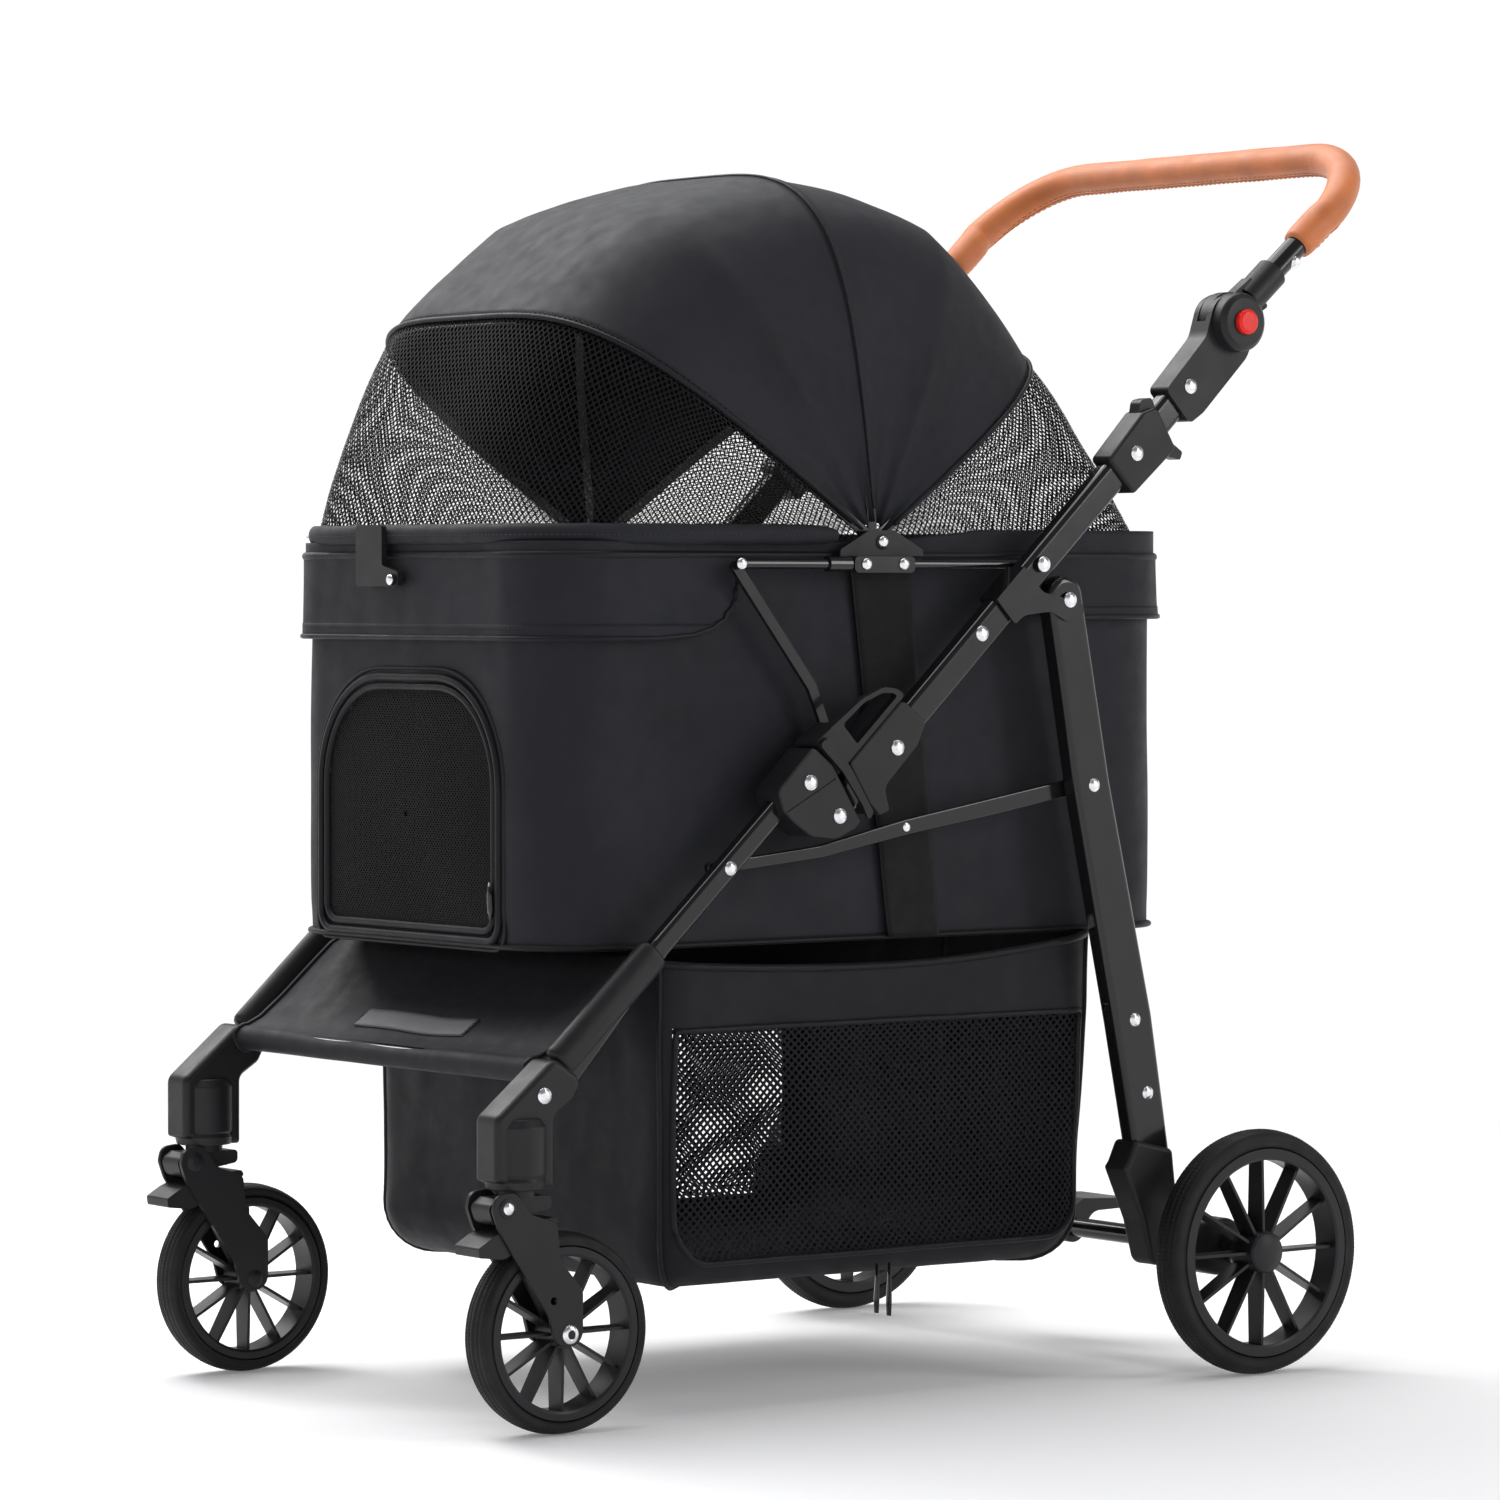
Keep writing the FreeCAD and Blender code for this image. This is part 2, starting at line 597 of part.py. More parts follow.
def handle_sockets(upper_tube):
    """Sockets on the tube ends, forked into two cheeks round the tilting handle hub."""
    outline = [on_tube(462, 17) + (5,), on_tube(462, -19) + (5,), on_tube(478, -22) + (12,),
               (HUB.y + 12, HUB.z - 28, 18), (HUB.y + 25, HUB.z - 2, 20),
               (HUB.y + 12, HUB.z + 24, 20), (HUB.y - 20, HUB.z + 20, 20),
               (HUB.y - 30, HUB.z - 12, 20)]
    block = plate(unique("socket"), outline, 3, LANE - 11, 22)
    slot = rod_across(LANE - 5.3, LANE + 5.3, HUB, 26)
    slot_exit = plate(unique("exit"), [(HUB.y - 18, HUB.z - 2), (HUB.y - 40, HUB.z + 60),
                                       (HUB.y + 60, HUB.z + 60), (HUB.y + 60, HUB.z - 8),
                                       (HUB.y + 18, HUB.z - 14)], 0, LANE - 5.3, 10.6)
    bore = rod_across(LANE - 30, LANE + 40, HUB, 13.1)
    round_end = rod_across(LANE - 11, LANE + 11, HUB, 23.5)
    keep_both("handle_sockets", cut(fuse([block, round_end]), [slot, slot_exit, bore, upper_tube]))


# ---------------------------------------------------------------- tilting handle
def handle():
    """U-shaped handle tube with padded grip, its two hubs and their release buttons."""
    start = Vec(LANE, HUB.y + 20.9, HUB.z + 18.6)
    bar_corner = Vec(size("barx"), size("bary"), size("barz"))
    up = Vec(0, bar_corner.y - start.y, bar_corner.z - start.z)
    reach = up.Length
    tilt = math.degrees(math.atan2(up.z, up.y))
    holder = new_body(unique("handle_tube"), Vec(0, start.y, start.z), Rot(Vec(1, 0, 0), tilt))

    def u_path(body, y_from, width_cell):
        path = new_sketch(body, "XY_Plane")
        bend = size("barbend")
        x_leg = size("barx")
        lean = (x_leg - LANE) / reach
        foot = LANE + lean * y_from
        knee = Vec(LANE + lean * (reach - bend), reach - bend, 0)
        corner_mid = Vec(x_leg - bend * 0.2929, reach - bend * 0.2929, 0)
        top = Vec(x_leg - bend, reach, 0)
        left = [Vec(foot, y_from, 0), knee, corner_mid, top]
        right = [Vec(-p.x, p.y, 0) for p in left]
        path.addGeometry(Part.LineSegment(left[0], left[1]), False)
        path.addGeometry(Part.Arc(left[1], left[2], left[3]), False)
        path.addGeometry(Part.LineSegment(left[3], right[3]), False)
        path.addGeometry(Part.Arc(right[3], right[2], right[1]), False)
        path.addGeometry(Part.LineSegment(right[1], right[0]), False)
        profile = new_sketch(body, "XZ_Plane", Placement(Vec(0, 0, -y_from), Rot()))
        profile.addGeometry(Part.Circle(Vec(foot, 0, 0), Vec(0, 0, 1), size(width_cell) / 2), False)
        sweep = body.newObject("PartDesign::AdditivePipe", unique("sweep"))
        sweep.Profile = profile
        sweep.Spine = (path, [f"Edge{i}" for i in range(1, 6)])
        body.Tip = sweep

    u_path(holder, 0, "bardia")
    grip_start = 70.0
    sleeve = new_body(unique("handle_grip"), Vec(0, start.y, start.z), Rot(Vec(1, 0, 0), tilt))
    u_path(sleeve, grip_start, "gripdia")
    keep("handle_grip", cut(sleeve, [holder]))

    hub_disc = rod_across(LANE - 5.0, LANE + 5.0, HUB, 24.5)
    outer_cap = turned(unique("hub_cap"), [(0, 0), (12.6, 0), (12.6, 19, 1), (9, 23.2, 2.5),
                                           (0, 23.8)], LANE + 11.3, HUB)
    core = rod_across(LANE - 13, LANE + 12, HUB, 13.0)
    inner_cap = rod_across(LANE - 14.5, LANE - 11.3, HUB, 20)
    neck = plate(unique("neck"), [(HUB.y + 2, HUB.z + 22, 2), (HUB.y + 20, HUB.z + 2, 2),
                                  (HUB.y + 40, HUB.z + 14, 2), (HUB.y + 22, HUB.z + 37, 2)], 2,
                 LANE - 5, 10)
    socket = rod(Vec(LANE, HUB.y + 21, HUB.z + 18.2), Vec(LANE, HUB.y + 48, HUB.z + 41.5), 13)
    button_bore = rod_across(LANE + 12, LANE + 30, HUB, 10.1)
    stop_bore = rod_across(LANE + 5, LANE + 13, HUB, 6.1)
    hub = cut(fuse([hub_disc, outer_cap, core, inner_cap, neck, socket]),
              [button_bore, stop_bore])
    keep("handle_hubs", cut(group([hub, mirrored(hub)]), [holder]))
    head = cut(rivet(LANE + 8.0, 1, Vec(0, 337.5, 884.2), 6.0, 5.8), [holder])
    keep_both("handle_rivets", head)
    keep("handle_tube", holder)

    cap = turned(unique("button"), [(0, 0), (12.4, 0), (12.4, 7.5, 1.5), (11.2, 9.9, 1.2),
                                    (0, 9.9)], LANE + 16.5, HUB)
    stem = rod_across(LANE + 9.5, LANE + 17, HUB, 6.0)
    keep_pair("handle_button", fuse([cap, stem]))


# ---------------------------------------------------------------- braces and rails
def fold_braces():
    """Flat links between the front leg and the rear leg, inside the frame."""
    line = [(BRACE_FRONT.y - 9, BRACE_FRONT.z - 0.6), (-180.7, 416.2), (-122, 422.2), (-40, 439),
            (33, 451), (BRACE_BACK.y + 12, BRACE_BACK.z + 1.4)]
    link = bar(unique("link"), line, [4.5, 4.6, 4.8, 6, 6.5, 6.5], LANE - 15.3,
               "bracewide", 4.4)
    soften(link, 1.2, side_faces_edge)
    heads = [rivet(LANE - 15.2, -1, Vec(0, -40, 439), 5, 1.4),
             rivet(LANE - 15.2, -1, BRACE_BACK, 5, 1.6)]
    hole = rod_across(200, 240, BRACE_FRONT, SMALL_PIN + size("running"))
    keep_pair("fold_brace", cut(fuse([link] + heads), [hole]))


def carrier_rails():
    """Rails that carry the carrier's rim, and the struts that hold them up."""
    rail_x, rail_z = size("railx"), 641.0
    line = rod(Vec(rail_x, -193, rail_z), Vec(rail_x, 72, rail_z), "sizes.raildia / 2")
    sleeve = rod(Vec(rail_x, -112, rail_z), Vec(rail_x, -91, rail_z), 6)
    clamp = plate(unique("clamp"), [(-89, 634.5), (-89, 647), (-31, 647), (-31, 634.5)], 4,
                  rail_x - 3, 8.2)
    heads = [rivet(rail_x + 5.1, 1, Vec(0, y, rail_z), 4.2, 2) for y in (-78, -42)]
    rail = fuse([line, sleeve, clamp] + heads)
    keep_both("carrier_rails", rail)
    strut = plate(unique("strut"), ribbon([(-199, 642), (-193, 634), (-126, 548), (-114, 520),
                                           (-130, 486), (-140, 474)], 4.2), 3,
                  LANE - 19.6, 4.1)
    keep_both("rail_struts", cut(strut, [line]))


# ---------------------------------------------------------------- rivets
def frame_rivets():
    """Rivets of each rigid group; the joint pins belong to the side that holds them."""
    outer, inner = LANE + 15.3, LANE - 15.3
    front = [rivet(outer, 1, FOLD, *BIG_RIVET), rivet(outer, 1, Vec(0, -150.5, 476), *BIG_RIVET),
             rivet(LANE + 15, 1, Vec(0, -393.4, 251.4), *BIG_RIVET),
             rivet(LANE + 6.5, 1, BRACE_FRONT, *SMALL_RIVET),
             rod_across(inner, outer, FOLD, PIVOT_PIN),
             rod_across(inner, LANE - 6.5, BRACE_FRONT, SMALL_PIN)]
    keep_both("front_frame_rivets", group(front))
    upper = [rivet(LANE + 15, 1, Vec(0, -67.7, 501.1), *BIG_RIVET),
             rivet(LANE + 8, 1, Vec(0, 19.8, 587.6), *BIG_RIVET),
             rivet(LANE + 11.3, 1, Vec(0, 78.3, 641.1), 6.2, 2.6),
             rivet(LANE + 11.3, 1, LEG_PIVOT, *BIG_RIVET),
             rivet(LANE + 12, 1, Vec(0, 171.5, 728.4), *BIG_RIVET),
             rivet(LANE + 11, 1, Vec(0, 227.2, 782.1), *BIG_RIVET)]
    keep_both("upper_frame_rivets", group(upper))
    rear = [rivet(LANE + 9, 1, Vec(0, y, z), *SMALL_RIVET)
            for y, z in ((130.8, 468.5), (172.8, 282.7), (185.9, 224.3))]
    keep_both("rear_frame_rivets", group(rear))


# ---------------------------------------------------------------- soft pieces
def tub_outline(half, front, back, corner, inset=0.0):
    """Rounded rectangle (X, Y) seen from above."""
    x, y0, y1, r = half - inset, front + inset, back - inset, max(corner - inset, 1)
    return [(-x, y0, r), (x, y0, r), (x, y1, r), (-x, y1, r)]


def ring_band(label, half, front, back, corner, wall, z_from, tall):
    """Upright band that follows a rounded rectangle."""
    body = new_body(label, Vec(0, 0, z_from))
    sketch = new_sketch(body, "XY_Plane")
    for inset in (0.0, wall):
        for shape in rounded_loop(tub_outline(half, front, back, corner, inset), corner):
            sketch.addGeometry(shape, False)
    pad(body, sketch, tall)
    return body


def tub(label, half, front, back, corner, wall, z_from, z_to):
    """Open-topped fabric box with a floor."""
    walls = ring_band(unique("walls"), half, front, back, corner, wall, z_from, z_to - z_from)
    floor = new_body(unique("floor"), Vec(0, 0, z_from))
    sketch = new_sketch(floor, "XY_Plane")
    for shape in rounded_loop(tub_outline(half, front, back, corner, wall * 0.5), corner):
        sketch.addGeometry(shape, False)
    pad(floor, sketch, wall)
    return fuse([walls, floor], label)


def door_outline(half, bottom, top, shoulder):
    """Arched doorway seen from the front (X, Z)."""
    return [(-half, bottom, 14), (half, bottom, 14), (half, top - 12, shoulder),
            (half * 0.45, top, shoulder), (-half * 0.45, top, shoulder),
            (-half, top - 12, shoulder)]


def upright_panel(label, outline, y_from, thick):
    """Flat panel seen from the front, standing in the XZ plane."""
    body = new_body(label, Vec(0, y_from, 0))
    sketch = new_sketch(body, "XZ_Plane")
    for shape in rounded_loop(outline, 0):
        sketch.addGeometry(shape, False)
    feature = pad(body, sketch, thick)
    feature.Reversed = True
    return body


def carrier():
    half, front, back = size("carrierhalf"), size("carrierfront"), size("carrierback")
    corner, wall = size("carriercorner"), size("clothwall")
    floor, top = size("carrierfloor"), size("carriertop")
    shell = tub(unique("carrier_shell"), half, front, back, corner, wall, floor, top - 2)
    doorway = upright_panel(unique("doorway"), door_outline(124, floor + 7, 554, 42), front - 5, 12)
    keep("carrier_shell", cut(shell, [doorway]))
    door = upright_panel(unique("front_door"), door_outline(123, floor + 8, 553, 41), front, wall)
    keep("front_door", door)

    rim = ring_band(unique("rim"), half + 4, front - 4, back + 4, corner + 4, 7, top, 6.5)
    pivots = []
    for side in (1, -1):
        ear = plate(unique("ear"), [(-96, 647.4, 1), (-16, 647.4, 1), (-16, 652, 3), (-44, 667, 8),
                                    (-68, 667, 8), (-96, 652, 3)], 3, side * 199.6 - 1.4, 2.8)
        feet = [box((min(side * 183, side * 201), y, 647.4), (18, 24, 3.1)) for y in (-96, -40)]
        pin = rod_across(side * 182.5, side * 200, CANOPY, SMALL_PIN)
        head = rivet(side * 201, side, CANOPY, 6, 2)
        pivots += [ear, pin, head] + feet
    keep("carrier_rim", fuse([rim] + pivots))

    flap = ring_band(unique("flap"), half + 7, front - 7, back + 7, corner + 7, 2.4, 584, 64)
    side_gap = []
    for side in (1, -1):
        side_gap.append(plate(unique("side_gap"), [(-208, 580), (-189, 614), (-184, 650),
                                                   (90, 650), (97, 599), (97, 580)], 0,
                              min(side * 180, side * 200), 20))
    below = box((-210, 97, 580), (420, 180, 19))
    keep("carrier_valance", cut(flap, side_gap + [below]))

    strap = plate(unique("strap"), [(-78, 640, 1), (-22, 640, 1), (8, 352, 1), (-41, 352, 1)], 0,
                  half + 0.4, 1.8)
    keep_both("carrier_straps", strap)


def basket():
    half, front, back = size("baskethalf"), size("basketfront"), size("basketback")
    item = tub(unique("basket"), half, front, back, size("basketcorner"), 2.6,
               size("basketfloor"), size("baskettop"))
    keep("basket", item)


def footboard():
    """Padded cloth between the front legs, wrapped over the cross tube."""
    line = [(-392.5, 272.5), (-383, 279.5), (-368, 284), (-300, 343), (-274, 347.5)]
    cloth = plate(unique("footboard"), ribbon(line, 2.0), 1, -203, 406)
    keep("footboard", cloth)


def bow(name, half_x, reach, angle, below, above, shape):
    """Curved strip that swings on the canopy pivot."""
    body = new_body(unique(name), CANOPY, Rot(Vec(1, 0, 0), angle))
    sketch = new_sketch(body, "XY_Plane", Placement(Vec(0, 0, -below), Rot()))
    arch_band(sketch, half_x, reach, shape, size("bowthick"), 0.0, 5.5)
    pad(body, sketch, below + above)
    hole = rod_across(-210, 210, CANOPY, SMALL_PIN + size("running"))
    keep(name, cut(body, [hole]))


def canopy_panel(name, sections, thick=1.7):
    """Fabric gore lofted between arches; each section is (angle, half_x, reach, shape)."""
    body = new_body(unique(name), CANOPY)
    sketches = []
    for angle, half_x, reach, shape in sections:
        sketch = new_sketch(body, "XY_Plane", Placement(Vec(0, 0, 0), Rot(Vec(1, 0, 0), angle)))
        arch_band(sketch, half_x, reach, shape, thick, 76.0)
        sketch.Visibility = False
        sketches.append(sketch)
    loft = body.newObject("PartDesign::AdditiveLoft", unique("loft"))
    loft.Profile = sketches[0]
    loft.Sections = sketches[1:]
    loft.Ruled = True
    body.Tip = loft
    keep(name, body)


def canopy():
    bow("canopy_ring", 197.0, 307.0, 180.0, 12.0, 2.0, RIM_SHAPE)
    bow("front_bow", 193.7, 301.0, 145.4, 4.0, 4.0, BOW_SHAPE)
    bow("middle_bow", 190.7, 285.0, 96.4, 4.0, 4.0, BOW_SHAPE)
    bow("rear_bow", 187.9, 258.0, 36.3, 4.0, 4.0, BOW_SHAPE)
    canopy_panel("front_mesh", [(178.0, 193.2, 303.4, RIM_SHAPE), (145.9, 196.2, 304.0, BOW_SHAPE)])
    canopy_panel("canopy_front", [(145.0, 196.2, 304.0, BOW_SHAPE), (121.3, 195.2, 300.0, BOW_SHAPE),
                                  (96.8, 193.4, 291.0, BOW_SHAPE)])
    canopy_panel("canopy_back", [(96.0, 193.4, 291.0, BOW_SHAPE), (66.9, 192.4, 284.0, BOW_SHAPE),
                                 (36.8, 191.0, 264.0, BOW_SHAPE)])
    canopy_panel("rear_window", [(35.8, 191.0, 264.0, BOW_SHAPE), (1.5, 188.5, 309.0, RIM_SHAPE)])


def front_clip():
    """Turn clip on the front of the rim that holds the canopy ring down."""
    face = size("carrierfront") - 16.4
    outline = [(-53, 624, 4), (7, 624, 4), (7, 635, 4), (-16, 640, 3), (-16, 671, 4), (-53, 671, 4)]
    body = upright_panel(unique("clip"), outline, face, "clipthick")
    pin = rod(Vec(0, face + 1, 629), Vec(0, face + 8.8, 629), SMALL_PIN)
    head = rod(Vec(0, face - 2.2, 629), Vec(0, face + 1, 629), 4.5)
    keep("front_clip", fuse([body, pin, head]))


# ---------------------------------------------------------------- build
leg_left = front_legs()
tube_left = upper_tubes()
rear_left = rear_legs()
keep("cross_tube", cross_rod())
caster_housings(leg_left)
caster_knuckles()
caster_forks()
wheels()
rear_end(rear_left)
fold_housings(leg_left)
slide_locks()
upper_housings(tube_left)
leg_brackets(tube_left)
tube_collars(tube_left)
handle_sockets(tube_left)
handle()
fold_braces()
carrier_rails()
frame_rivets()
carrier()
basket()
footboard()
canopy()
front_clip()
doc.recompute()

failed = [o.Name for o in doc.Objects if "Invalid" in o.State or "Error" in o.State]
if failed:
    raise RuntimeError(f"objects that failed to build: {failed}")
for name, item in parts.items():
    if item.Shape.isNull() or not item.Shape.isValid():
        raise RuntimeError(f"{name} has no valid shape")

os.makedirs("parts", exist_ok=True)
for name, item in parts.items():
    item.Shape.exportStep(os.path.join("parts", f"{name}.step"))
print(len(parts), "nodes")
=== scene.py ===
"""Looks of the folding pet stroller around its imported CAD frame. Metres, same frame as the CAD."""
import json
import math
import bmesh
import bpy
import numpy as np
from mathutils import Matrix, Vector, noise


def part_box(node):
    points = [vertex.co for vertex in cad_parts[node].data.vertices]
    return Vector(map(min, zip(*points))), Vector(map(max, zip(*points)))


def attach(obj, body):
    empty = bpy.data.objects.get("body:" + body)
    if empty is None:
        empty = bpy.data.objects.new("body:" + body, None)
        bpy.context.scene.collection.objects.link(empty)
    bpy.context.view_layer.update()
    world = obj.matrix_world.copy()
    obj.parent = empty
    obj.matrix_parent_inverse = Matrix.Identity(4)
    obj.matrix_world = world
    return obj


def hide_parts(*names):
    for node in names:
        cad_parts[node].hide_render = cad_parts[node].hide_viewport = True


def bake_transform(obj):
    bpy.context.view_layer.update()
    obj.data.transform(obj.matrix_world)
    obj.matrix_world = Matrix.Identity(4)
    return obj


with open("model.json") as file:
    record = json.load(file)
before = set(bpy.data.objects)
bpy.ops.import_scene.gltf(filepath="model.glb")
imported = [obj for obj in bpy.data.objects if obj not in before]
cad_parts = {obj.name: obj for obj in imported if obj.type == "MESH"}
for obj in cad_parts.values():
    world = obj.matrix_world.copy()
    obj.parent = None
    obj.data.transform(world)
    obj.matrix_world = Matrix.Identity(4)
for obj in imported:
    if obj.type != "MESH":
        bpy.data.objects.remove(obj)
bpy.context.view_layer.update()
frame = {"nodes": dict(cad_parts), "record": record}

# ---------------------------------------------------------------- sizes, in metres
LANE = 0.2207
PIVOT_Y, PIVOT_Z = -0.056, 0.658
# canopy arches from the front rim to the back rim: (angle, half width, reach, shape)
RING = (178.0, 0.1932, 0.3034, 0.36)
FRONT_ARCH = (145.4, 0.1958, 0.3035, 0.52)
CREST_FRONT = (121.3, 0.1952, 0.2975, 0.52)
MIDDLE_ARCH = (96.4, 0.1936, 0.2895, 0.52)
CREST_BACK = (66.9, 0.1926, 0.2800, 0.52)
BACK_ARCH = (36.3, 0.1912, 0.2630, 0.52)
BACK_RIM = (1.5, 0.1888, 0.3090, 0.36)
BUMPER_END = 0.0011
# carrier
CARRIER = {"half": 0.1855, "front": -0.3565, "back": 0.2545, "corner": 0.060}
CARRIER_FLOOR, CARRIER_TOP = 0.3525, 0.649
VALANCE_GAP = 0.0062
DOOR_HALF, DOOR_BOTTOM, DOOR_TOP, DOOR_CORNER = 0.1205, 0.361, 0.551, 0.080
DOOR_COVER = 0.004
# basket
BASKET = {"half": 0.2005, "front": -0.2660, "back": 0.1510, "corner": 0.034}
BASKET_FLOOR, BASKET_TOP, BASKET_SEAM = 0.0925, 0.3415, 0.290
BASKET_ROUND = 0.040
BASKET_REAR_RISE, BASKET_REAR_LEAN = 0.010, 0.014
# handle
HANDLE_START = Vector((LANE, 0.2944, 0.8522))
BAR_HALF, BAR_Y, BAR_Z, BAR_BEND = 0.229, 0.4312, 0.974, 0.084
GRIP_FROM, GRIP_RADIUS = 0.068, 0.0132
# bolts: the forks' outer face from the wheel lane, and places as (Y, Z)
FORK_FACE = 0.0190
FRONT_AXLE, KNUCKLE_PIN = (-0.373, 0.075), (-0.428, 0.171)
CLIP_PIN = (0.0, -0.3751, 0.629)
# bright rivets of each side: X, Y, Z and the body they ride
SIDE_RIVETS = ((0.2106, -0.078, 0.641, "lower_frame"), (0.2106, -0.042, 0.641, "lower_frame"),
               (0.2090, -0.195, 0.641, "lower_frame"), (0.2025, PIVOT_Y, PIVOT_Z, "carrier"),
               (0.2096, -0.040, 0.439, "fold_brace"))
# front leg line as (Y, Z), and the sleeve's span along it and half width
LEG_FOOT, LEG_KNEE = (-0.3934, 0.2514), (-0.1505, 0.4760)
SLEEVE_SPAN, SLEEVE_HALF = (0.030, 0.150), 0.0138


# ---------------------------------------------------------------- material helpers
class Shader:
    """A node material with one Principled shader."""

    def __init__(self, name):
        self.material = bpy.data.materials.new(name)
        self.material.use_nodes = True
        self.tree = self.material.node_tree
        self.bsdf = self.tree.nodes["Principled BSDF"]
        self.output = self.tree.nodes["Material Output"]

    def node(self, kind, **settings):
        made = self.tree.nodes.new(kind)
        for key, value in settings.items():
            setattr(made, key, value)
        return made

    def link(self, a, b):
        self.tree.links.new(a, b)

    def fixed(self, **values):
        for key, value in values.items():
            self.bsdf.inputs[key.replace("_", " ")].default_value = value

    def place(self, source="Object", scale=(1, 1, 1), turn=0.0):
        coords = self.node("ShaderNodeTexCoord")
        mapping = self.node("ShaderNodeMapping")
        mapping.inputs["Scale"].default_value = scale
        mapping.inputs["Rotation"].default_value = (0, 0, turn)
        self.link(coords.outputs[source], mapping.inputs["Vector"])
        return mapping.outputs["Vector"]

    def noise(self, vector, scale, detail=3.0, rough=0.5):
        made = self.node("ShaderNodeTexNoise")
        made.inputs["Scale"].default_value = scale
        made.inputs["Detail"].default_value = detail
        made.inputs["Roughness"].default_value = rough
        self.link(vector, made.inputs["Vector"])
        return made.outputs["Fac"]

    def math(self, operation, a, b=None):
        made = self.node("ShaderNodeMath", operation=operation)
        for socket, value in zip(made.inputs, (a, b)):
            if value is None:
                continue
            if isinstance(value, (int, float)):
                socket.default_value = value
            else:
                self.link(value, socket)
        return made.outputs[0]

    def ramp(self, fac, stops):
        made = self.node("ShaderNodeValToRGB")
        elements = made.color_ramp.elements
        while len(elements) < len(stops):
            elements.new(0.5)
        for element, (position, colour) in zip(elements, stops):
            element.position = position
            element.color = (*colour, 1)
        self.link(fac, made.inputs["Fac"])
        return made.outputs["Color"]

    def grey_ramp(self, fac, low, high, start=0.3, end=0.7):
        return self.ramp(fac, [(start, (low,) * 3), (end, (high,) * 3)])

    def bump(self, height, strength, distance):
        made = self.node("ShaderNodeBump")
        made.inputs["Strength"].default_value = strength
        made.inputs["Distance"].default_value = distance
        self.link(height, made.inputs["Height"])
        before = self.bsdf.inputs["Normal"]
        if before.is_linked:
            self.link(before.links[0].from_socket, made.inputs["Normal"])
        self.link(made.outputs["Normal"], before)


def shade(colour, factor):
    return tuple(c * factor for c in colour)


def woven(name, colour, pitch, rough=0.60, sheen=0.02, weave=0.35, source="UV"):
    """Close cloth: two crossing thread directions, slow colour drift and a soft sheen."""
    s = Shader(name)
    flat = s.place(source)
    drift = s.noise(flat, 9.0, 4.0)
    s.link(s.ramp(drift, [(0.3, shade(colour, 0.82)), (0.7, shade(colour, 1.18))]),
           s.bsdf.inputs["Base Color"])
    s.link(s.grey_ramp(s.noise(flat, 60.0), rough - 0.06, rough + 0.06), s.bsdf.inputs["Roughness"])
    threads = []
    for direction in ("X", "Y"):
        wave = s.node("ShaderNodeTexWave", bands_direction=direction)
        wave.inputs["Scale"].default_value = 0.314 / pitch
        wave.inputs["Distortion"].default_value = 0.4
        s.link(flat, wave.inputs["Vector"])
        threads.append(wave.outputs["Fac"])
    s.bump(s.math("MULTIPLY", *threads), weave, 0.0003)
    s.bump(s.noise(flat, 26.0, 5.0), 0.18, 0.003)
    s.fixed(Sheen_Weight=sheen, Sheen_Roughness=0.4, Specular_IOR_Level=0.20)
    return s.material


def open_mesh(name, colour, pitch, strand, stretch=1.0):
    """Net of crossing strands with real holes between them."""
    s = Shader(name)
    grid = s.place("UV", scale=(stretch / pitch, 1 / pitch, 1), turn=math.radians(45))
    split = s.node("ShaderNodeSeparateXYZ")
    s.link(grid, split.inputs[0])
    waves = [s.math("PINGPONG", split.outputs[axis], 0.5) for axis in (0, 1)]
    nearest = s.math("MINIMUM", *waves)
    solid = s.math("LESS_THAN", nearest, strand)
    s.link(s.ramp(s.noise(s.place("UV"), 14.0), [(0.3, shade(colour, 0.8)), (0.7, shade(colour, 1.3))]),
           s.bsdf.inputs["Base Color"])
    s.bump(nearest, 0.6, 0.0006)
    s.fixed(Roughness=0.7, Specular_IOR_Level=0.16)
    clear = s.node("ShaderNodeBsdfTransparent")
    mix = s.node("ShaderNodeMixShader")
    s.link(solid, mix.inputs[0])
    s.link(clear.outputs[0], mix.inputs[1])
    s.link(s.bsdf.outputs[0], mix.inputs[2])
    s.link(mix.outputs[0], s.output.inputs["Surface"])
    return s.material


def moulded(name, colour, rough, grain=0.12):
    """Plastic with a fine sparked grain and slightly rubbed areas."""
    s = Shader(name)
    where = s.place()
    s.link(s.ramp(s.noise(where, 14.0), [(0.3, shade(colour, 0.85)), (0.75, shade(colour, 1.2))]),
           s.bsdf.inputs["Base Color"])
    s.link(s.grey_ramp(s.noise(where, 40.0), rough - 0.05, rough + 0.07), s.bsdf.inputs["Roughness"])
    s.bump(s.noise(where, 1500.0, 2.0), grain, 0.0002)
    s.fixed(Specular_IOR_Level=0.3)
    return s.material


def painted(name, colour):
    """Gloss paint on tube: slight orange peel under a clear coat."""
    s = Shader(name)
    where = s.place()
    s.link(s.ramp(s.noise(where, 8.0), [(0.3, shade(colour, 0.9)), (0.7, shade(colour, 1.15))]),
           s.bsdf.inputs["Base Color"])
    s.link(s.grey_ramp(s.noise(where, 55.0), 0.13, 0.20), s.bsdf.inputs["Roughness"])
    s.bump(s.noise(where, 420.0, 2.0), 0.05, 0.0002)
    s.fixed(Specular_IOR_Level=0.3, Coat_Weight=0.35, Coat_Roughness=0.07)
    return s.material


def bright_metal(name, colour):
    s = Shader(name)
    where = s.place()
    s.link(s.ramp(s.noise(where, 120.0), [(0.3, shade(colour, 0.92)), (0.7, colour)]),
           s.bsdf.inputs["Base Color"])
    s.link(s.grey_ramp(s.noise(where, 300.0), 0.18, 0.3), s.bsdf.inputs["Roughness"])
    s.fixed(Metallic=1.0)
    return s.material


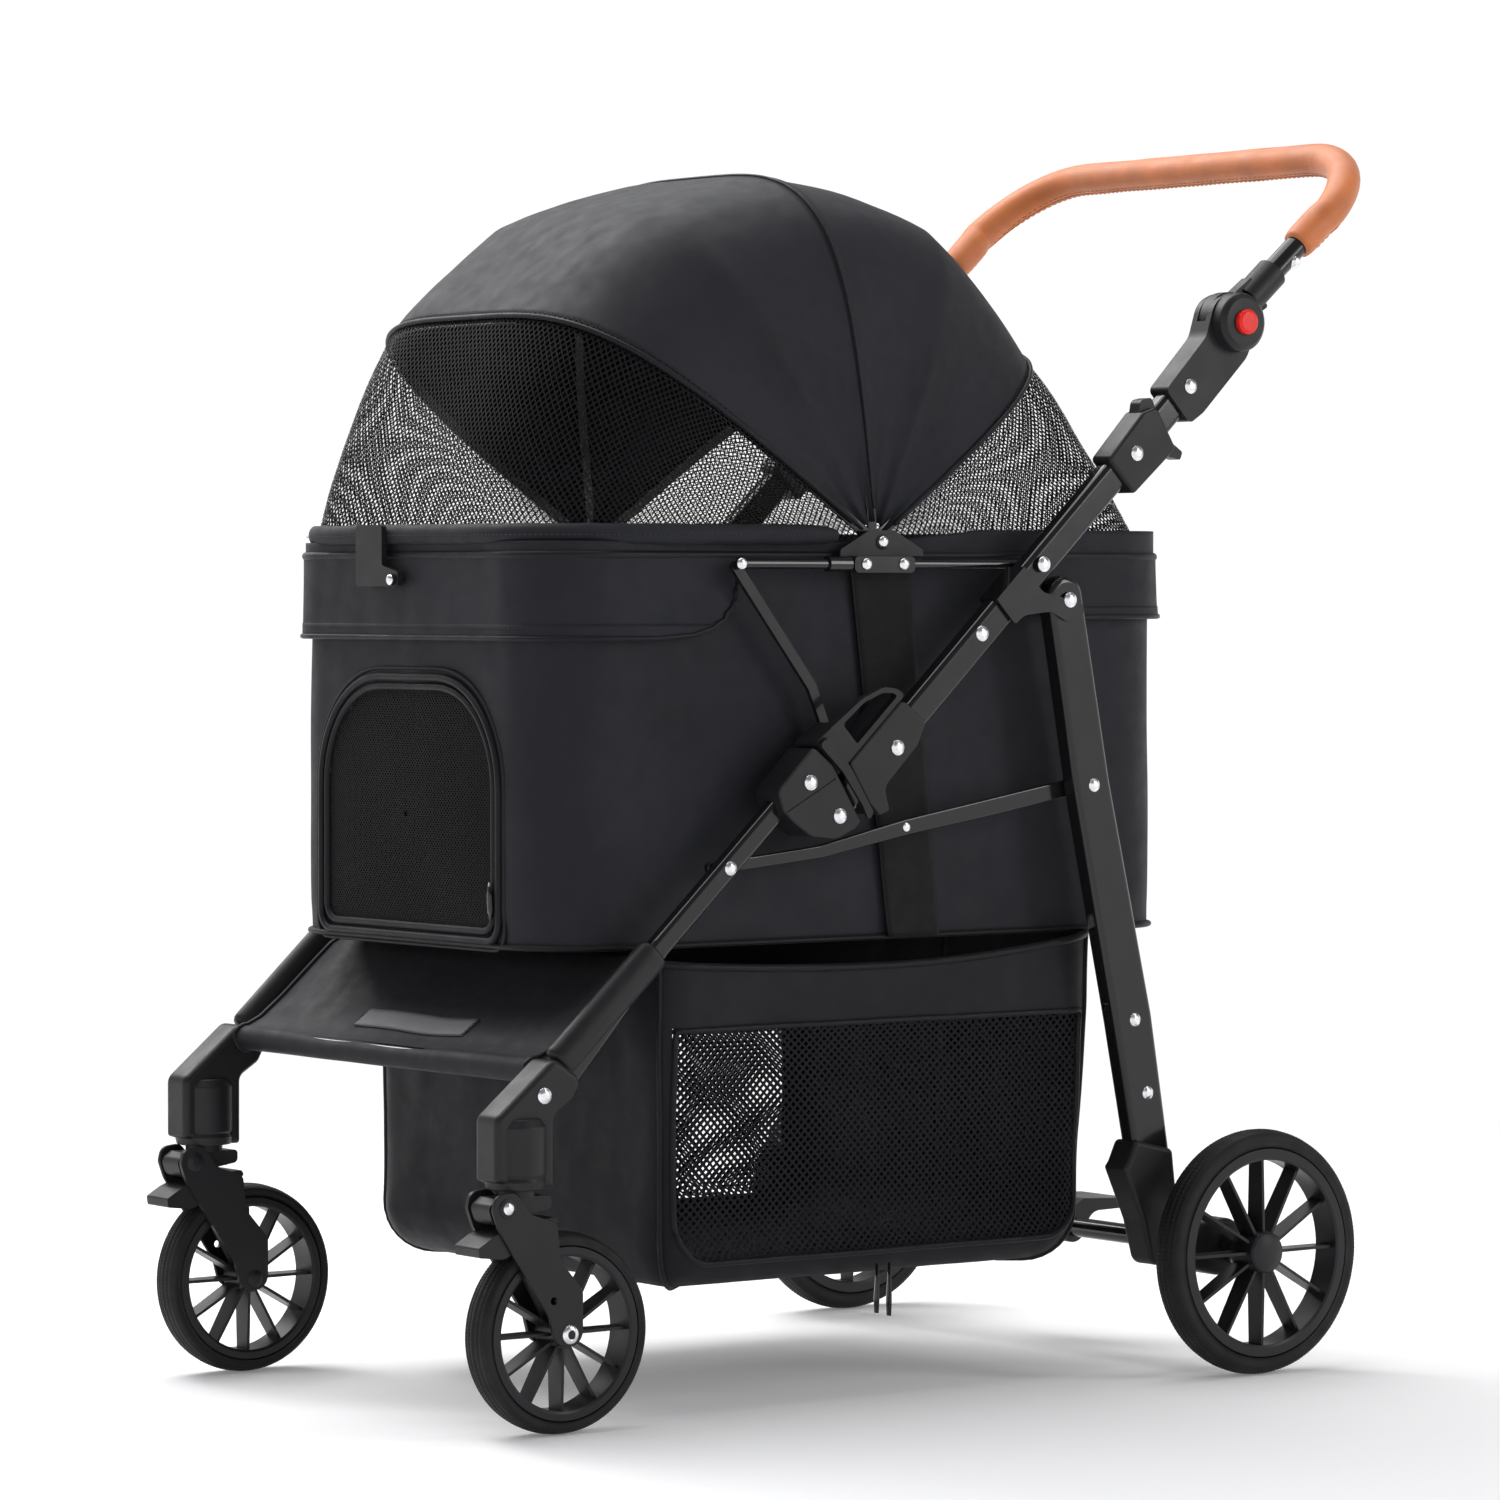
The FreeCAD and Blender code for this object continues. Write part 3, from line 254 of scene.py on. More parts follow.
def leather(name, colour):
    s = Shader(name)
    where = s.place()
    tone = s.noise(where, 30.0, 5.0)
    s.link(s.ramp(tone, [(0.25, shade(colour, 0.78)), (0.5, colour), (0.8, shade(colour, 1.2))]),
           s.bsdf.inputs["Base Color"])
    grain = s.node("ShaderNodeTexVoronoi", feature="DISTANCE_TO_EDGE")
    grain.inputs["Scale"].default_value = 620.0
    s.link(where, grain.inputs["Vector"])
    s.bump(grain.outputs["Distance"], 0.35, 0.0006)
    s.bump(s.noise(where, 90.0, 4.0), 0.2, 0.001)
    s.link(s.grey_ramp(s.noise(where, 70.0), 0.42, 0.56), s.bsdf.inputs["Roughness"])
    s.fixed(Sheen_Weight=0.15)
    return s.material


def rubber(name, colour):
    s = Shader(name)
    where = s.place()
    s.link(s.ramp(s.noise(where, 25.0), [(0.3, shade(colour, 0.8)), (0.75, shade(colour, 1.35))]),
           s.bsdf.inputs["Base Color"])
    s.link(s.grey_ramp(s.noise(where, 60.0), 0.55, 0.72), s.bsdf.inputs["Roughness"])
    s.bump(s.noise(where, 900.0), 0.12, 0.0003)
    s.fixed(Specular_IOR_Level=0.28)
    return s.material


CHARCOAL = (0.0145, 0.0150, 0.0195)
BLACK = (0.0060, 0.0060, 0.0070)
MATERIALS = {
    "frame_black": painted("frame_black", (0.008, 0.008, 0.009)),
    "joint_plastic": moulded("joint_plastic", (0.0125, 0.0125, 0.0140), 0.42),
    "rivet_steel": bright_metal("rivet_steel", (0.86, 0.86, 0.88)),
    "rim_plastic": moulded("rim_plastic", (0.012, 0.0122, 0.0140), 0.36, 0.08),
    "tyre_rubber": rubber("tyre_rubber", (0.0085, 0.0085, 0.0092)),
    "red_button": moulded("red_button", (0.78, 0.018, 0.012), 0.3, 0.04),
    "tan_leather": leather("tan_leather", (0.56, 0.160, 0.042)),
    "canopy_fabric": woven("canopy_fabric", CHARCOAL, 0.0007),
    "mesh_fabric": open_mesh("mesh_fabric", BLACK, 0.0046, 0.125, 1.25),
    "strap_webbing": woven("strap_webbing", BLACK, 0.0016, 0.66, 0.05, 0.8),
}
LOOKS = {
    "basket_net": open_mesh("basket_net", (0.0075, 0.0078, 0.0100), 0.0048, 0.165),
    "door_net": open_mesh("door_net", BLACK, 0.0026, 0.23),
    "basket_cloth": woven("basket_cloth", (0.0100, 0.0104, 0.0130), 0.0008),
    "piping": woven("piping", (0.0075, 0.0078, 0.0095), 0.0009, 0.46, 0.04, 0.35, "Object"),
    "thread": woven("thread", (0.024, 0.025, 0.029), 0.0005, 0.6, 0.1, 0.3, "Object"),
    "tan_thread": woven("tan_thread", (0.62, 0.27, 0.10), 0.0005, 0.6, 0.1, 0.3, "Object"),
    "grey_patch": woven("grey_patch", (0.170, 0.170, 0.180), 0.0012),
}


# ---------------------------------------------------------------- mesh helpers
def make_mesh(name, points, faces, uvs=None):
    mesh = bpy.data.meshes.new(name)
    mesh.from_pydata([tuple(p) for p in points], [], faces)
    if uvs is not None:
        layer = mesh.uv_layers.new(name="UVMap")
        index = np.zeros(len(mesh.loops), int)
        mesh.loops.foreach_get("vertex_index", index)
        layer.data.foreach_set("uv", np.asarray(uvs)[index].astype(np.float32).ravel())
    mesh.shade_smooth()
    obj = bpy.data.objects.new(name, mesh)
    bpy.context.scene.collection.objects.link(obj)
    return obj


def grid_faces(rows, columns, wrap_columns=False):
    """Quads of a grid, with the vertices in row order."""
    faces = []
    for i in range(rows - 1):
        for j in range(columns if wrap_columns else columns - 1):
            k = (j + 1) % columns
            faces.append((i * columns + j, i * columns + k,
                          (i + 1) * columns + k, (i + 1) * columns + j))
    return faces


def cloth_uv(points):
    """Lengths along the grid's two directions, so a weave keeps its real size."""
    across = np.zeros(points.shape[:2])
    down = np.zeros(points.shape[:2])
    across[:, 1:] = np.cumsum(np.linalg.norm(np.diff(points, axis=1), axis=2), axis=1)
    down[1:, :] = np.cumsum(np.linalg.norm(np.diff(points, axis=0), axis=2), axis=0)
    across -= across[:, -1:] / 2
    middle = np.median(down, axis=1, keepdims=True)
    return np.stack([across, np.broadcast_to(middle, across.shape)], axis=2).reshape(-1, 2)


def cloth(name, points, material, thick=0.0011):
    """A sheet from a grid of points shaped (rows, columns, 3)."""
    rows, columns = points.shape[:2]
    obj = make_mesh(name, points.reshape(-1, 3), grid_faces(rows, columns), cloth_uv(points))
    obj.data.materials.append(material)
    layer = obj.modifiers.new("thickness", "SOLIDIFY")
    layer.thickness = thick
    layer.offset = -1
    return obj


def tube(name, path, radius, material, sides=10, closed=False, squash=(1.0, 1.0)):
    """Round cord, piping or sleeve along a list of points; squash flattens the section."""
    line = np.asarray(path, float)
    count = len(line)
    if closed:
        ahead = np.roll(line, -1, axis=0) - np.roll(line, 1, axis=0)
    else:
        ahead = np.gradient(line, axis=0)
    ahead /= np.linalg.norm(ahead, axis=1)[:, None]
    up = np.array([0.0, 0.0, 1.0])
    side = np.cross(ahead, up)
    flat = np.linalg.norm(side, axis=1) < 0.25
    side[flat] = np.cross(ahead[flat], [1.0, 0.0, 0.0])
    for i in range(1, count):
        if side[i] @ side[i - 1] < 0:
            side[i] *= -1
    side /= np.linalg.norm(side, axis=1)[:, None]
    lift = np.cross(side, ahead)
    turn = np.linspace(0, 2 * math.pi, sides, endpoint=False)
    reach = np.broadcast_to(np.asarray(radius, float), (count,))[:, None, None]
    ring = (side[:, None, :] * np.cos(turn)[None, :, None] * squash[0]
            + lift[:, None, :] * np.sin(turn)[None, :, None] * squash[1])
    points = line[:, None, :] + ring * reach
    faces = grid_faces(count, sides, wrap_columns=True)
    if closed:
        last = (count - 1) * sides
        faces += [(last + j, last + (j + 1) % sides, (j + 1) % sides, j) for j in range(sides)]
    else:
        faces += [tuple(range(sides))[::-1], tuple((count - 1) * sides + j for j in range(sides))]
    run = np.concatenate([[0], np.cumsum(np.linalg.norm(np.diff(line, axis=0), axis=1))])
    uv = np.stack([np.broadcast_to(turn * np.mean(radius), (count, sides)),
                   np.broadcast_to(run[:, None], (count, sides))], axis=2).reshape(-1, 2)
    obj = make_mesh(name, points.reshape(-1, 3), faces, uv)
    obj.data.materials.append(material)
    return obj


def resampled(path, pitch):
    """The same line with points about every pitch."""
    line = np.asarray(path, float)
    run = np.concatenate([[0], np.cumsum(np.linalg.norm(np.diff(line, axis=0), axis=1))])
    steps = np.linspace(0, run[-1], max(int(run[-1] / pitch), 2))
    return np.stack([np.interp(steps, run, line[:, k]) for k in range(3)], axis=1)


def stitches(name, path, outward, material, pitch=0.0042, radius=0.00042):
    """A row of short threads along a line, lying on the cloth."""
    points, faces = [], []
    line = resampled(path, pitch)
    normals = np.broadcast_to(np.asarray(outward, float), line.shape)
    for a, b, n in zip(line[:-1], line[1:], normals):
        ahead = (b - a) / np.linalg.norm(b - a)
        side = np.cross(ahead, n)
        side /= np.linalg.norm(side)
        lift = np.cross(side, ahead)
        base = len(points)
        for share, swell in ((0.12, 0.45), (0.3, 1.0), (0.62, 1.0), (0.8, 0.45)):
            at = a + (b - a) * share
            for u, v in ((1, 0), (0, 1), (-1, 0), (0, -0.4)):
                points.append(at + (side * u + lift * v) * radius * swell)
        for ring in range(3):
            for k in range(4):
                low, high = base + ring * 4, base + (ring + 1) * 4
                faces.append((low + k, low + (k + 1) % 4, high + (k + 1) % 4, high + k))
        faces.append((base, base + 3, base + 2, base + 1))
        faces.append((base + 12, base + 13, base + 14, base + 15))
    obj = make_mesh(name, points, faces)
    obj.data.materials.append(material)
    return obj


def rounded_path(half, front, back, corner, spacing=0.005):
    """Points and outward directions round a rounded rectangle, from the middle of the back."""
    centres = [((half - corner), back - corner, 90), ((half - corner), front + corner, 0),
               (-(half - corner), front + corner, -90), (-(half - corner), back - corner, -180)]
    points = [(0.0, back)]
    arc_steps = max(int(corner * math.pi / 2 / spacing), 6)
    for x, y, begin in centres:
        for i in range(arc_steps + 1):
            angle = math.radians(begin - 90 * i / arc_steps)
            points.append((x + corner * math.cos(angle), y + corner * math.sin(angle)))
    points.append((0.0, back))
    flat = np.array([(x, y, 0) for x, y in points])
    line = resampled(flat, spacing)[:, :2]
    ahead = np.gradient(line, axis=0)
    ahead[0] = ahead[-1] = (1, 0)
    out = np.stack([-ahead[:, 1], ahead[:, 0]], axis=1)
    return line, out / np.linalg.norm(out, axis=1)[:, None]


def ripple(p, scale, amount, stretch=(1, 1, 1), seed=0.0):
    """Smooth seeded wrinkle height at a point."""
    v = Vector((p[0] * stretch[0], p[1] * stretch[1], p[2] * stretch[2])) * scale
    v += Vector((seed, seed * 1.7, seed * 0.3))
    return noise.noise(v) * amount


# ---------------------------------------------------------------- canopy
def arch_point(angle, half, reach, shape, along):
    """Point of an arch; along runs from 0 at the left pivot to 1 at the right one."""
    turn = math.pi * along
    c, s = math.cos(turn), max(math.sin(turn), 0.0)
    x = math.copysign(abs(c) ** shape * half, c)
    r = s ** shape * reach
    a = math.radians(angle)
    return np.array([x, PIVOT_Y + r * math.cos(a), PIVOT_Z + r * math.sin(a)])


def along_steps(count, margin):
    """Places along an arch, closer together at its ends and corners."""
    even = np.linspace(0, 1, count)
    return margin + (1 - 2 * margin) * (even - 0.10 * np.sin(4 * math.pi * even) / math.pi)


def gore_points(arches, rows_each, columns, sag, margin=0.0012, trim=(0.0, 0.0), seed=0.0):
    """Cloth stretched over arches, drawn in slightly between each two of them."""
    steps = along_steps(columns, margin)
    rows = []
    for first, second in zip(arches[:-1], arches[1:]):
        for i in range(rows_each + 1):
            if i == rows_each and second is not arches[-1]:
                continue
            share = i / rows_each
            dip = sag * 4 * share * (1 - share)
            angle, half, reach, shape = (a + (b - a) * share for a, b in zip(first, second))
            if first is arches[0] and i == 0:
                angle += trim[0]
            if second is arches[-1] and i == rows_each:
                angle += trim[1]
            row = []
            for along in steps:
                p = arch_point(angle, half - dip * 0.35 * abs(math.cos(math.pi * along)),
                               reach * (1 - dip), shape, along)
                out = np.array([p[0] * 0.8, p[1] - PIVOT_Y, p[2] - PIVOT_Z])
                r = math.hypot(out[1], out[2])
                out /= max(np.linalg.norm(out), 1e-6)
                near = math.exp(-r / 0.07)
                pleat = near * 0.0016 * math.sin(math.radians(angle) * 26 + seed)
                fold = ripple(p, 11.0, 0.0022, (1.0, 1.0, 1.6), seed) * (1 - near)
                fine = ripple(p, 34.0, 0.0007, seed=seed + 3)
                edge = min(share, 1 - share) * 2
                row.append(p + out * (pleat + (fold + fine) * min(edge * 2.5, 1.0)))
            rows.append(row)
    return np.array(rows)


def arch_line(arch, lift, count=160, margin=0.003):
    angle, half, reach, shape = arch
    return [arch_point(angle, half + lift, reach + lift, shape, t)
            for t in along_steps(count, margin)]


def canopy():
    fabric, net = MATERIALS["canopy_fabric"], MATERIALS["mesh_fabric"]
    pieces = (
        ("canopy_front_cloth", (MIDDLE_ARCH, CREST_FRONT, FRONT_ARCH), fabric, 0.011,
         "middle_bow", "front_bow", "canopy_front", "canopy_fabric", (0.25, 0.86), (-1.6, 0.0)),
        ("canopy_back_cloth", (BACK_ARCH, CREST_BACK, MIDDLE_ARCH), fabric, 0.012,
         "rear_bow", "middle_bow", "canopy_back", "canopy_fabric", (0.28, 0.82), (0.0, 0.4)),
        ("front_mesh_cloth", (FRONT_ARCH, RING), net, 0.020,
         "front_bow", "canopy_ring", "front_mesh", "mesh_fabric", (0.18, 0.84), (-1.2, 0.0)),
        ("rear_mesh_cloth", (BACK_RIM, BACK_ARCH), net, 0.026,
         "carrier", "rear_bow", "rear_window", "mesh_fabric", (0.19, 0.82), (0.0, 1.2)),
    )
    for seed, (name, arches, material, sag, low, high, node, slot, cut, trim) in enumerate(pieces):
        points = gore_points(arches, 14 if len(arches) == 3 else 22, 170, sag, trim=trim, seed=seed + 1)
        sheet = cloth(name, points, material, 0.0012 if material is fabric else 0.0004)
        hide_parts(node)
        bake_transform(sheet)
    trims = (("front_arch_binding", FRONT_ARCH, 0.0021, "front_bow", (1.0, 1.0)),
             ("middle_arch_seam", MIDDLE_ARCH, 0.0012, "middle_bow", (1.0, 1.0)),
             ("back_arch_binding", BACK_ARCH, 0.0019, "rear_bow", (1.0, 1.0)))
    for name, arch, radius, body, section in trims:
        binding = tube(name, arch_line(arch, 0.0006), radius, LOOKS["piping"], 10, False, section)
        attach(binding, body)


def canopy_bumper():
    """Padded sleeve round the canopy's front rim."""
    ends = [BUMPER_END * 1.5 ** k for k in range(7)]
    places = [*ends, *along_steps(230, 0.012), *[1 - along for along in ends[::-1]]]
    rim = resampled([arch_point(180.0, 0.1958, 0.3058, 0.36, along) for along in places], 0.004)
    path = rim + [(0, 0, 0.0055 + ripple(p, 70.0, 0.0006)) for p in rim]
    puckers = np.array([ripple(p, 55.0, 0.05, seed=5.0) for p in path])
    reach = np.minimum(np.arange(len(path)), np.arange(len(path))[::-1]) * 0.004
    taper = 1 - 0.45 * np.exp(-reach / 0.010)
    sleeve = tube("canopy_bumper", path, 0.0078 * (1 + puckers) * taper, MATERIALS["canopy_fabric"],
                  18, False, (0.72, 1.0))
    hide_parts("canopy_ring")
    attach(sleeve, "canopy_ring")
    seam = [np.array([p[0] * 1.029, PIVOT_Y + (p[1] - PIVOT_Y) * 1.0185, p[2] - 0.001]) for p in path]
    thread = stitches("bumper_stitches", seam[6:-6], (0, 0, 1), LOOKS["thread"])
    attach(thread, "canopy_ring")


# ---------------------------------------------------------------- carrier
def carrier_wall_points():
    line, out = rounded_path(**CARRIER)
    levels = np.linspace(CARRIER_TOP, CARRIER_FLOOR, 60)
    rows = []
    for z in levels:
        depth = (CARRIER_TOP - z) / (CARRIER_TOP - CARRIER_FLOOR)
        row = []
        for (x, y), (ox, oy) in zip(line, out):
            flatness = max(abs(ox), abs(oy)) ** 8
            belly = 0.0022 * math.sin(math.pi * depth) * flatness
            wave = ripple((x, y, z), 9.0, 0.0030, (1.0, 1.0, 0.55), 2.0)
            crease = ripple((x, y, z), 30.0, 0.0011, (1.0, 1.0, 0.5), 7.0)
            hem = min(depth * 12, (1 - depth) * 12, 1.0)
            push = (belly + wave + crease) * hem - 0.0006
            row.append((x + ox * push, y + oy * push, z))
        rows.append(row)
    return np.array(rows), line, out


def arch_outline(half, bottom, top, corner, low_corner=0.012, spacing=0.004):
    """Doorway outline (X, Z), clockwise from the middle of the bottom."""
    points = [(0.0, bottom)]
    corners = (((half - low_corner), bottom + low_corner, low_corner, -90),
               ((half - corner), top - corner, corner, 0),
               (-(half - corner), top - corner, corner, 90),
               (-(half - low_corner), bottom + low_corner, low_corner, 180))
    for x, z, radius, begin in corners:
        for i in range(13):
            angle = math.radians(begin + 90 * i / 12)
            points.append((x + radius * math.cos(angle), z + radius * math.sin(angle)))
    points.append((0.0, bottom))
    flat = np.array([(x, 0, z) for x, z in points])
    return resampled(flat, spacing)


def in_doorway(place):
    """True inside the door's outline, drawn in by a margin that its edge covers."""
    half, top = DOOR_HALF - DOOR_COVER, DOOR_TOP - DOOR_COVER
    if place.y > CARRIER["front"] + 0.01 or place.z < DOOR_BOTTOM + DOOR_COVER:
        return False
    across = max(abs(place.x) - half + DOOR_CORNER, 0.0)
    above = max(place.z - top + DOOR_CORNER, 0.0)
    return math.hypot(across, above) < DOOR_CORNER


def open_doorway(shell):
    """Takes the faces behind the door out of the front wall."""
    edit = bmesh.new()
    edit.from_mesh(shell.data)
    covered = [face for face in edit.faces if in_doorway(face.calc_center_median())]
    bmesh.ops.delete(edit, geom=covered, context="FACES")
    edit.to_mesh(shell.data)
    edit.free()


def carrier_shell():
    points, line, out = carrier_wall_points()
    shell = cloth("carrier_cloth", points, MATERIALS["canopy_fabric"], 0.0022)
    open_doorway(shell)
    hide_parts("carrier_shell")
    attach(shell, "carrier")

    rings = []
    for share in np.linspace(1.0, 0.02, 14):
        rings.append([(x * share, -0.051 + (y + 0.051) * share, CARRIER_FLOOR + 0.0006)
                      for x, y in line])
    floor = cloth("carrier_floor", np.array(rings), LOOKS["basket_cloth"], 0.003)
    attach(floor, "carrier")

    hem = [(x + ox * 0.0012, y + oy * 0.0012, CARRIER_FLOOR + 0.0012)
           for (x, y), (ox, oy) in zip(line, out)][:-1]
    piping = tube("carrier_hem", hem, 0.0022, LOOKS["piping"], 8, True)
    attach(piping, "carrier")

    line, out = rounded_path(CARRIER["half"] + 0.004, CARRIER["front"] - 0.004,
                             CARRIER["back"] + 0.004, CARRIER["corner"] + 0.004)
    lip = [(x, y, CARRIER_TOP - 0.0015) for x, y in line][:-1]
    edge = tube("carrier_lip", lip, 0.0034, LOOKS["piping"], 10, True)
    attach(edge, "carrier")


def rim_tape():
    """Standing tape on the carrier that the canopy's rims close against."""
    grow = 0.0028
    line, _ = rounded_path(CARRIER["half"] + grow, CARRIER["front"] - grow,
                           CARRIER["back"] + grow, CARRIER["corner"] + grow)
    rows = []
    for share in np.linspace(0, 1, 7):
        row = []
        for x, y in line:
            back = min(max((y + 0.05) / 0.10, 0.0), 1.0)
            top = 0.6580 + 0.0100 * back
            row.append((x, y, 0.6440 + (top - 0.6440) * share))
        rows.append(row)
    tape = cloth("rim_tape", np.array(rows), MATERIALS["canopy_fabric"], 0.0016)
    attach(tape, "carrier")


def flap_rows(front_side):
    """Grid of the front or back flap of the valance, and its lower edge."""
    line, out = rounded_path(CARRIER["half"] + VALANCE_GAP, CARRIER["front"] - VALANCE_GAP,
                             CARRIER["back"] + VALANCE_GAP, CARRIER["corner"] + VALANCE_GAP, 0.003)
    run = np.concatenate([[0], np.cumsum(np.linalg.norm(np.diff(line, axis=0), axis=1))])
    half_run = run[-1] / 2
    if front_side:
        ends = ((0.650, -0.1845), (0.638, -0.1850), (0.614, -0.1895), (0.600, -0.1990),
                (0.592, -0.2120), (0.5875, -0.2300), (0.5850, -0.2600))
    else:
        ends = ((0.650, 0.0900), (0.630, 0.0920), (0.612, 0.0960), (0.604, 0.1060), (0.600, 0.1300))
    top, bottom = ends[0][0], ends[-1][0]
    end_z = [e[0] for e in ends][::-1]
    end_y = [e[1] for e in ends][::-1]
    side = np.where(line[:, 0] > 0)[0]
    rows = []
    for z in np.linspace(top, bottom, 26):
        y_end = np.interp(z, end_z, end_y)
        start = run[side[np.argmin(np.abs(line[side, 1] - y_end)
                                   + (np.abs(line[side, 0]) < CARRIER["half"]) * 9)]]
        depth = (top - z) / (top - bottom)
        if front_side:
            stations = np.linspace(start, 2 * half_run - start, 260)
        else:
            stations = np.linspace(-start, start, 200) % run[-1]
        row = []
        for s in stations:
            x, y = np.interp(s, run, line[:, 0]), np.interp(s, run, line[:, 1])
            ox, oy = np.interp(s, run, out[:, 0]), np.interp(s, run, out[:, 1])
            flare = 0.0018 * depth ** 1.5
            wave = ripple((x, y, z * 0.3), 16.0, 0.0026, seed=9.0) * depth
            crease = ripple((x, y, z), 45.0, 0.0009, (1, 1, 0.4), 4.0)
            push = flare + wave + crease
            row.append((x + ox * push, y + oy * push, z))
        rows.append(row)
    return np.array(rows)


def valance():
    for name, front_side in (("valance_front", True), ("valance_back", False)):
        points = flap_rows(front_side)
        flap = cloth(name, points, MATERIALS["canopy_fabric"], 0.0014)
        edge = np.concatenate([points[1:, 0][:-1], points[-1], points[1:, -1][::-1][1:]])
        piping = tube(f"{name}_piping", resampled(edge, 0.003), 0.0021, LOOKS["piping"], 8)
        thread = stitches(f"{name}_stitches", points[-4] * (1.0005, 1.0005, 1), (0, 0, 1),
                          LOOKS["thread"])
        fold = points[-5:] + (points[-5:] - points[-5:].mean(axis=(0, 1))) * (0.0040, 0.0025, 0)
        hem = cloth(f"{name}_hem", fold, MATERIALS["canopy_fabric"], 0.0012)
        for piece in (flap, piping, thread, hem):
            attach(piece, "carrier")
        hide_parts("carrier_valance")


def straps():
    """Webbing band and zipped seam on each side of the carrier."""
    for side, word in ((1, "left"), (-1, "right")):
        rows = []
        for z in np.linspace(0.643, 0.3535, 50):
            share = (0.643 - z) / 0.29
            y0 = -0.078 + 0.037 * share
            y1 = -0.022 + 0.030 * share
            row = []
            for y in np.linspace(y0, y1, 12):
                lift = 0.0022 + ripple((0, y, z), 22.0, 0.0014, seed=12.0)
                row.append((side * (CARRIER["half"] + 0.0022 + lift), y, z))
            rows.append(row)
        points = np.array(rows)
        band = cloth(f"carrier_strap_{word}", points, MATERIALS["strap_webbing"],
                     0.0012 * side)
        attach(band, "carrier")
        if side == 1:
            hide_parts("carrier_straps")
        seam = tube(f"strap_seam_{word}", points[:, 0], 0.0011, LOOKS["piping"], 6)
        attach(seam, "carrier")


def door():
    """Arched net door with a bound edge and a zip pull."""
    front = CARRIER["front"]
    outline = arch_outline(DOOR_HALF - 0.001, DOOR_BOTTOM + 0.001, DOOR_TOP - 0.001, DOOR_CORNER)
    centre = np.array([0.0, 0.0, 0.45])
    rows = []
    for share in np.linspace(1.0, 0.02, 30):
        row = []
        for p in outline:
            q = centre + (p - centre) * share
            bulge = 0.004 * (1 - share ** 3) + ripple(q, 14.0, 0.002, seed=6.0) * (1 - share)
            row.append((q[0], front - 0.0004 - bulge, q[2]))
        rows.append(row)
    points = np.array(rows)
    net = make_mesh("door_mesh", points.reshape(-1, 3), grid_faces(*points.shape[:2]),
                    points.reshape(-1, 3)[:, [0, 2]])
    net.data.materials.append(LOOKS["door_net"])
    lining = make_mesh("door_lining", points.reshape(-1, 3) + (0, 0.0022, 0),
                       grid_faces(*points.shape[:2]), points.reshape(-1, 3)[:, [0, 2]])
    lining.data.materials.append(LOOKS["door_net"])
    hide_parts("front_door")
    for piece in (net, lining):
        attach(piece, "front_door")

    def rim(name, grow, y, radius, material, body, flat=1.0):
        path = arch_outline(DOOR_HALF + grow, DOOR_BOTTOM - grow, DOOR_TOP + grow,
                            DOOR_CORNER + grow, 0.014)[:-1]
        ring = tube(name, path + (0, y, 0), radius, material, 10, True, (1.0, flat))
        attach(ring, body)

    rim("door_edge", -0.0035, front - 0.0012, 0.0030, LOOKS["piping"], "front_door")
    rim("doorway_piping", 0.0038, front - 0.0022, 0.0030, LOOKS["piping"], "carrier")
    rim("doorway_tape", 0.0105, front - 0.0010, 0.0014, LOOKS["piping"], "carrier")
    pull = tube("door_zip_pull", [(0.117, front - 0.006, 0.402), (0.118, front - 0.0065, 0.392),
                                  (0.118, front - 0.006, 0.382), (0.1185, front - 0.006, 0.374)],
                [0.0014, 0.0032, 0.0034, 0.0020], MATERIALS["frame_black"], 10, False, (0.5, 1.0))
    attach(pull, "front_door")


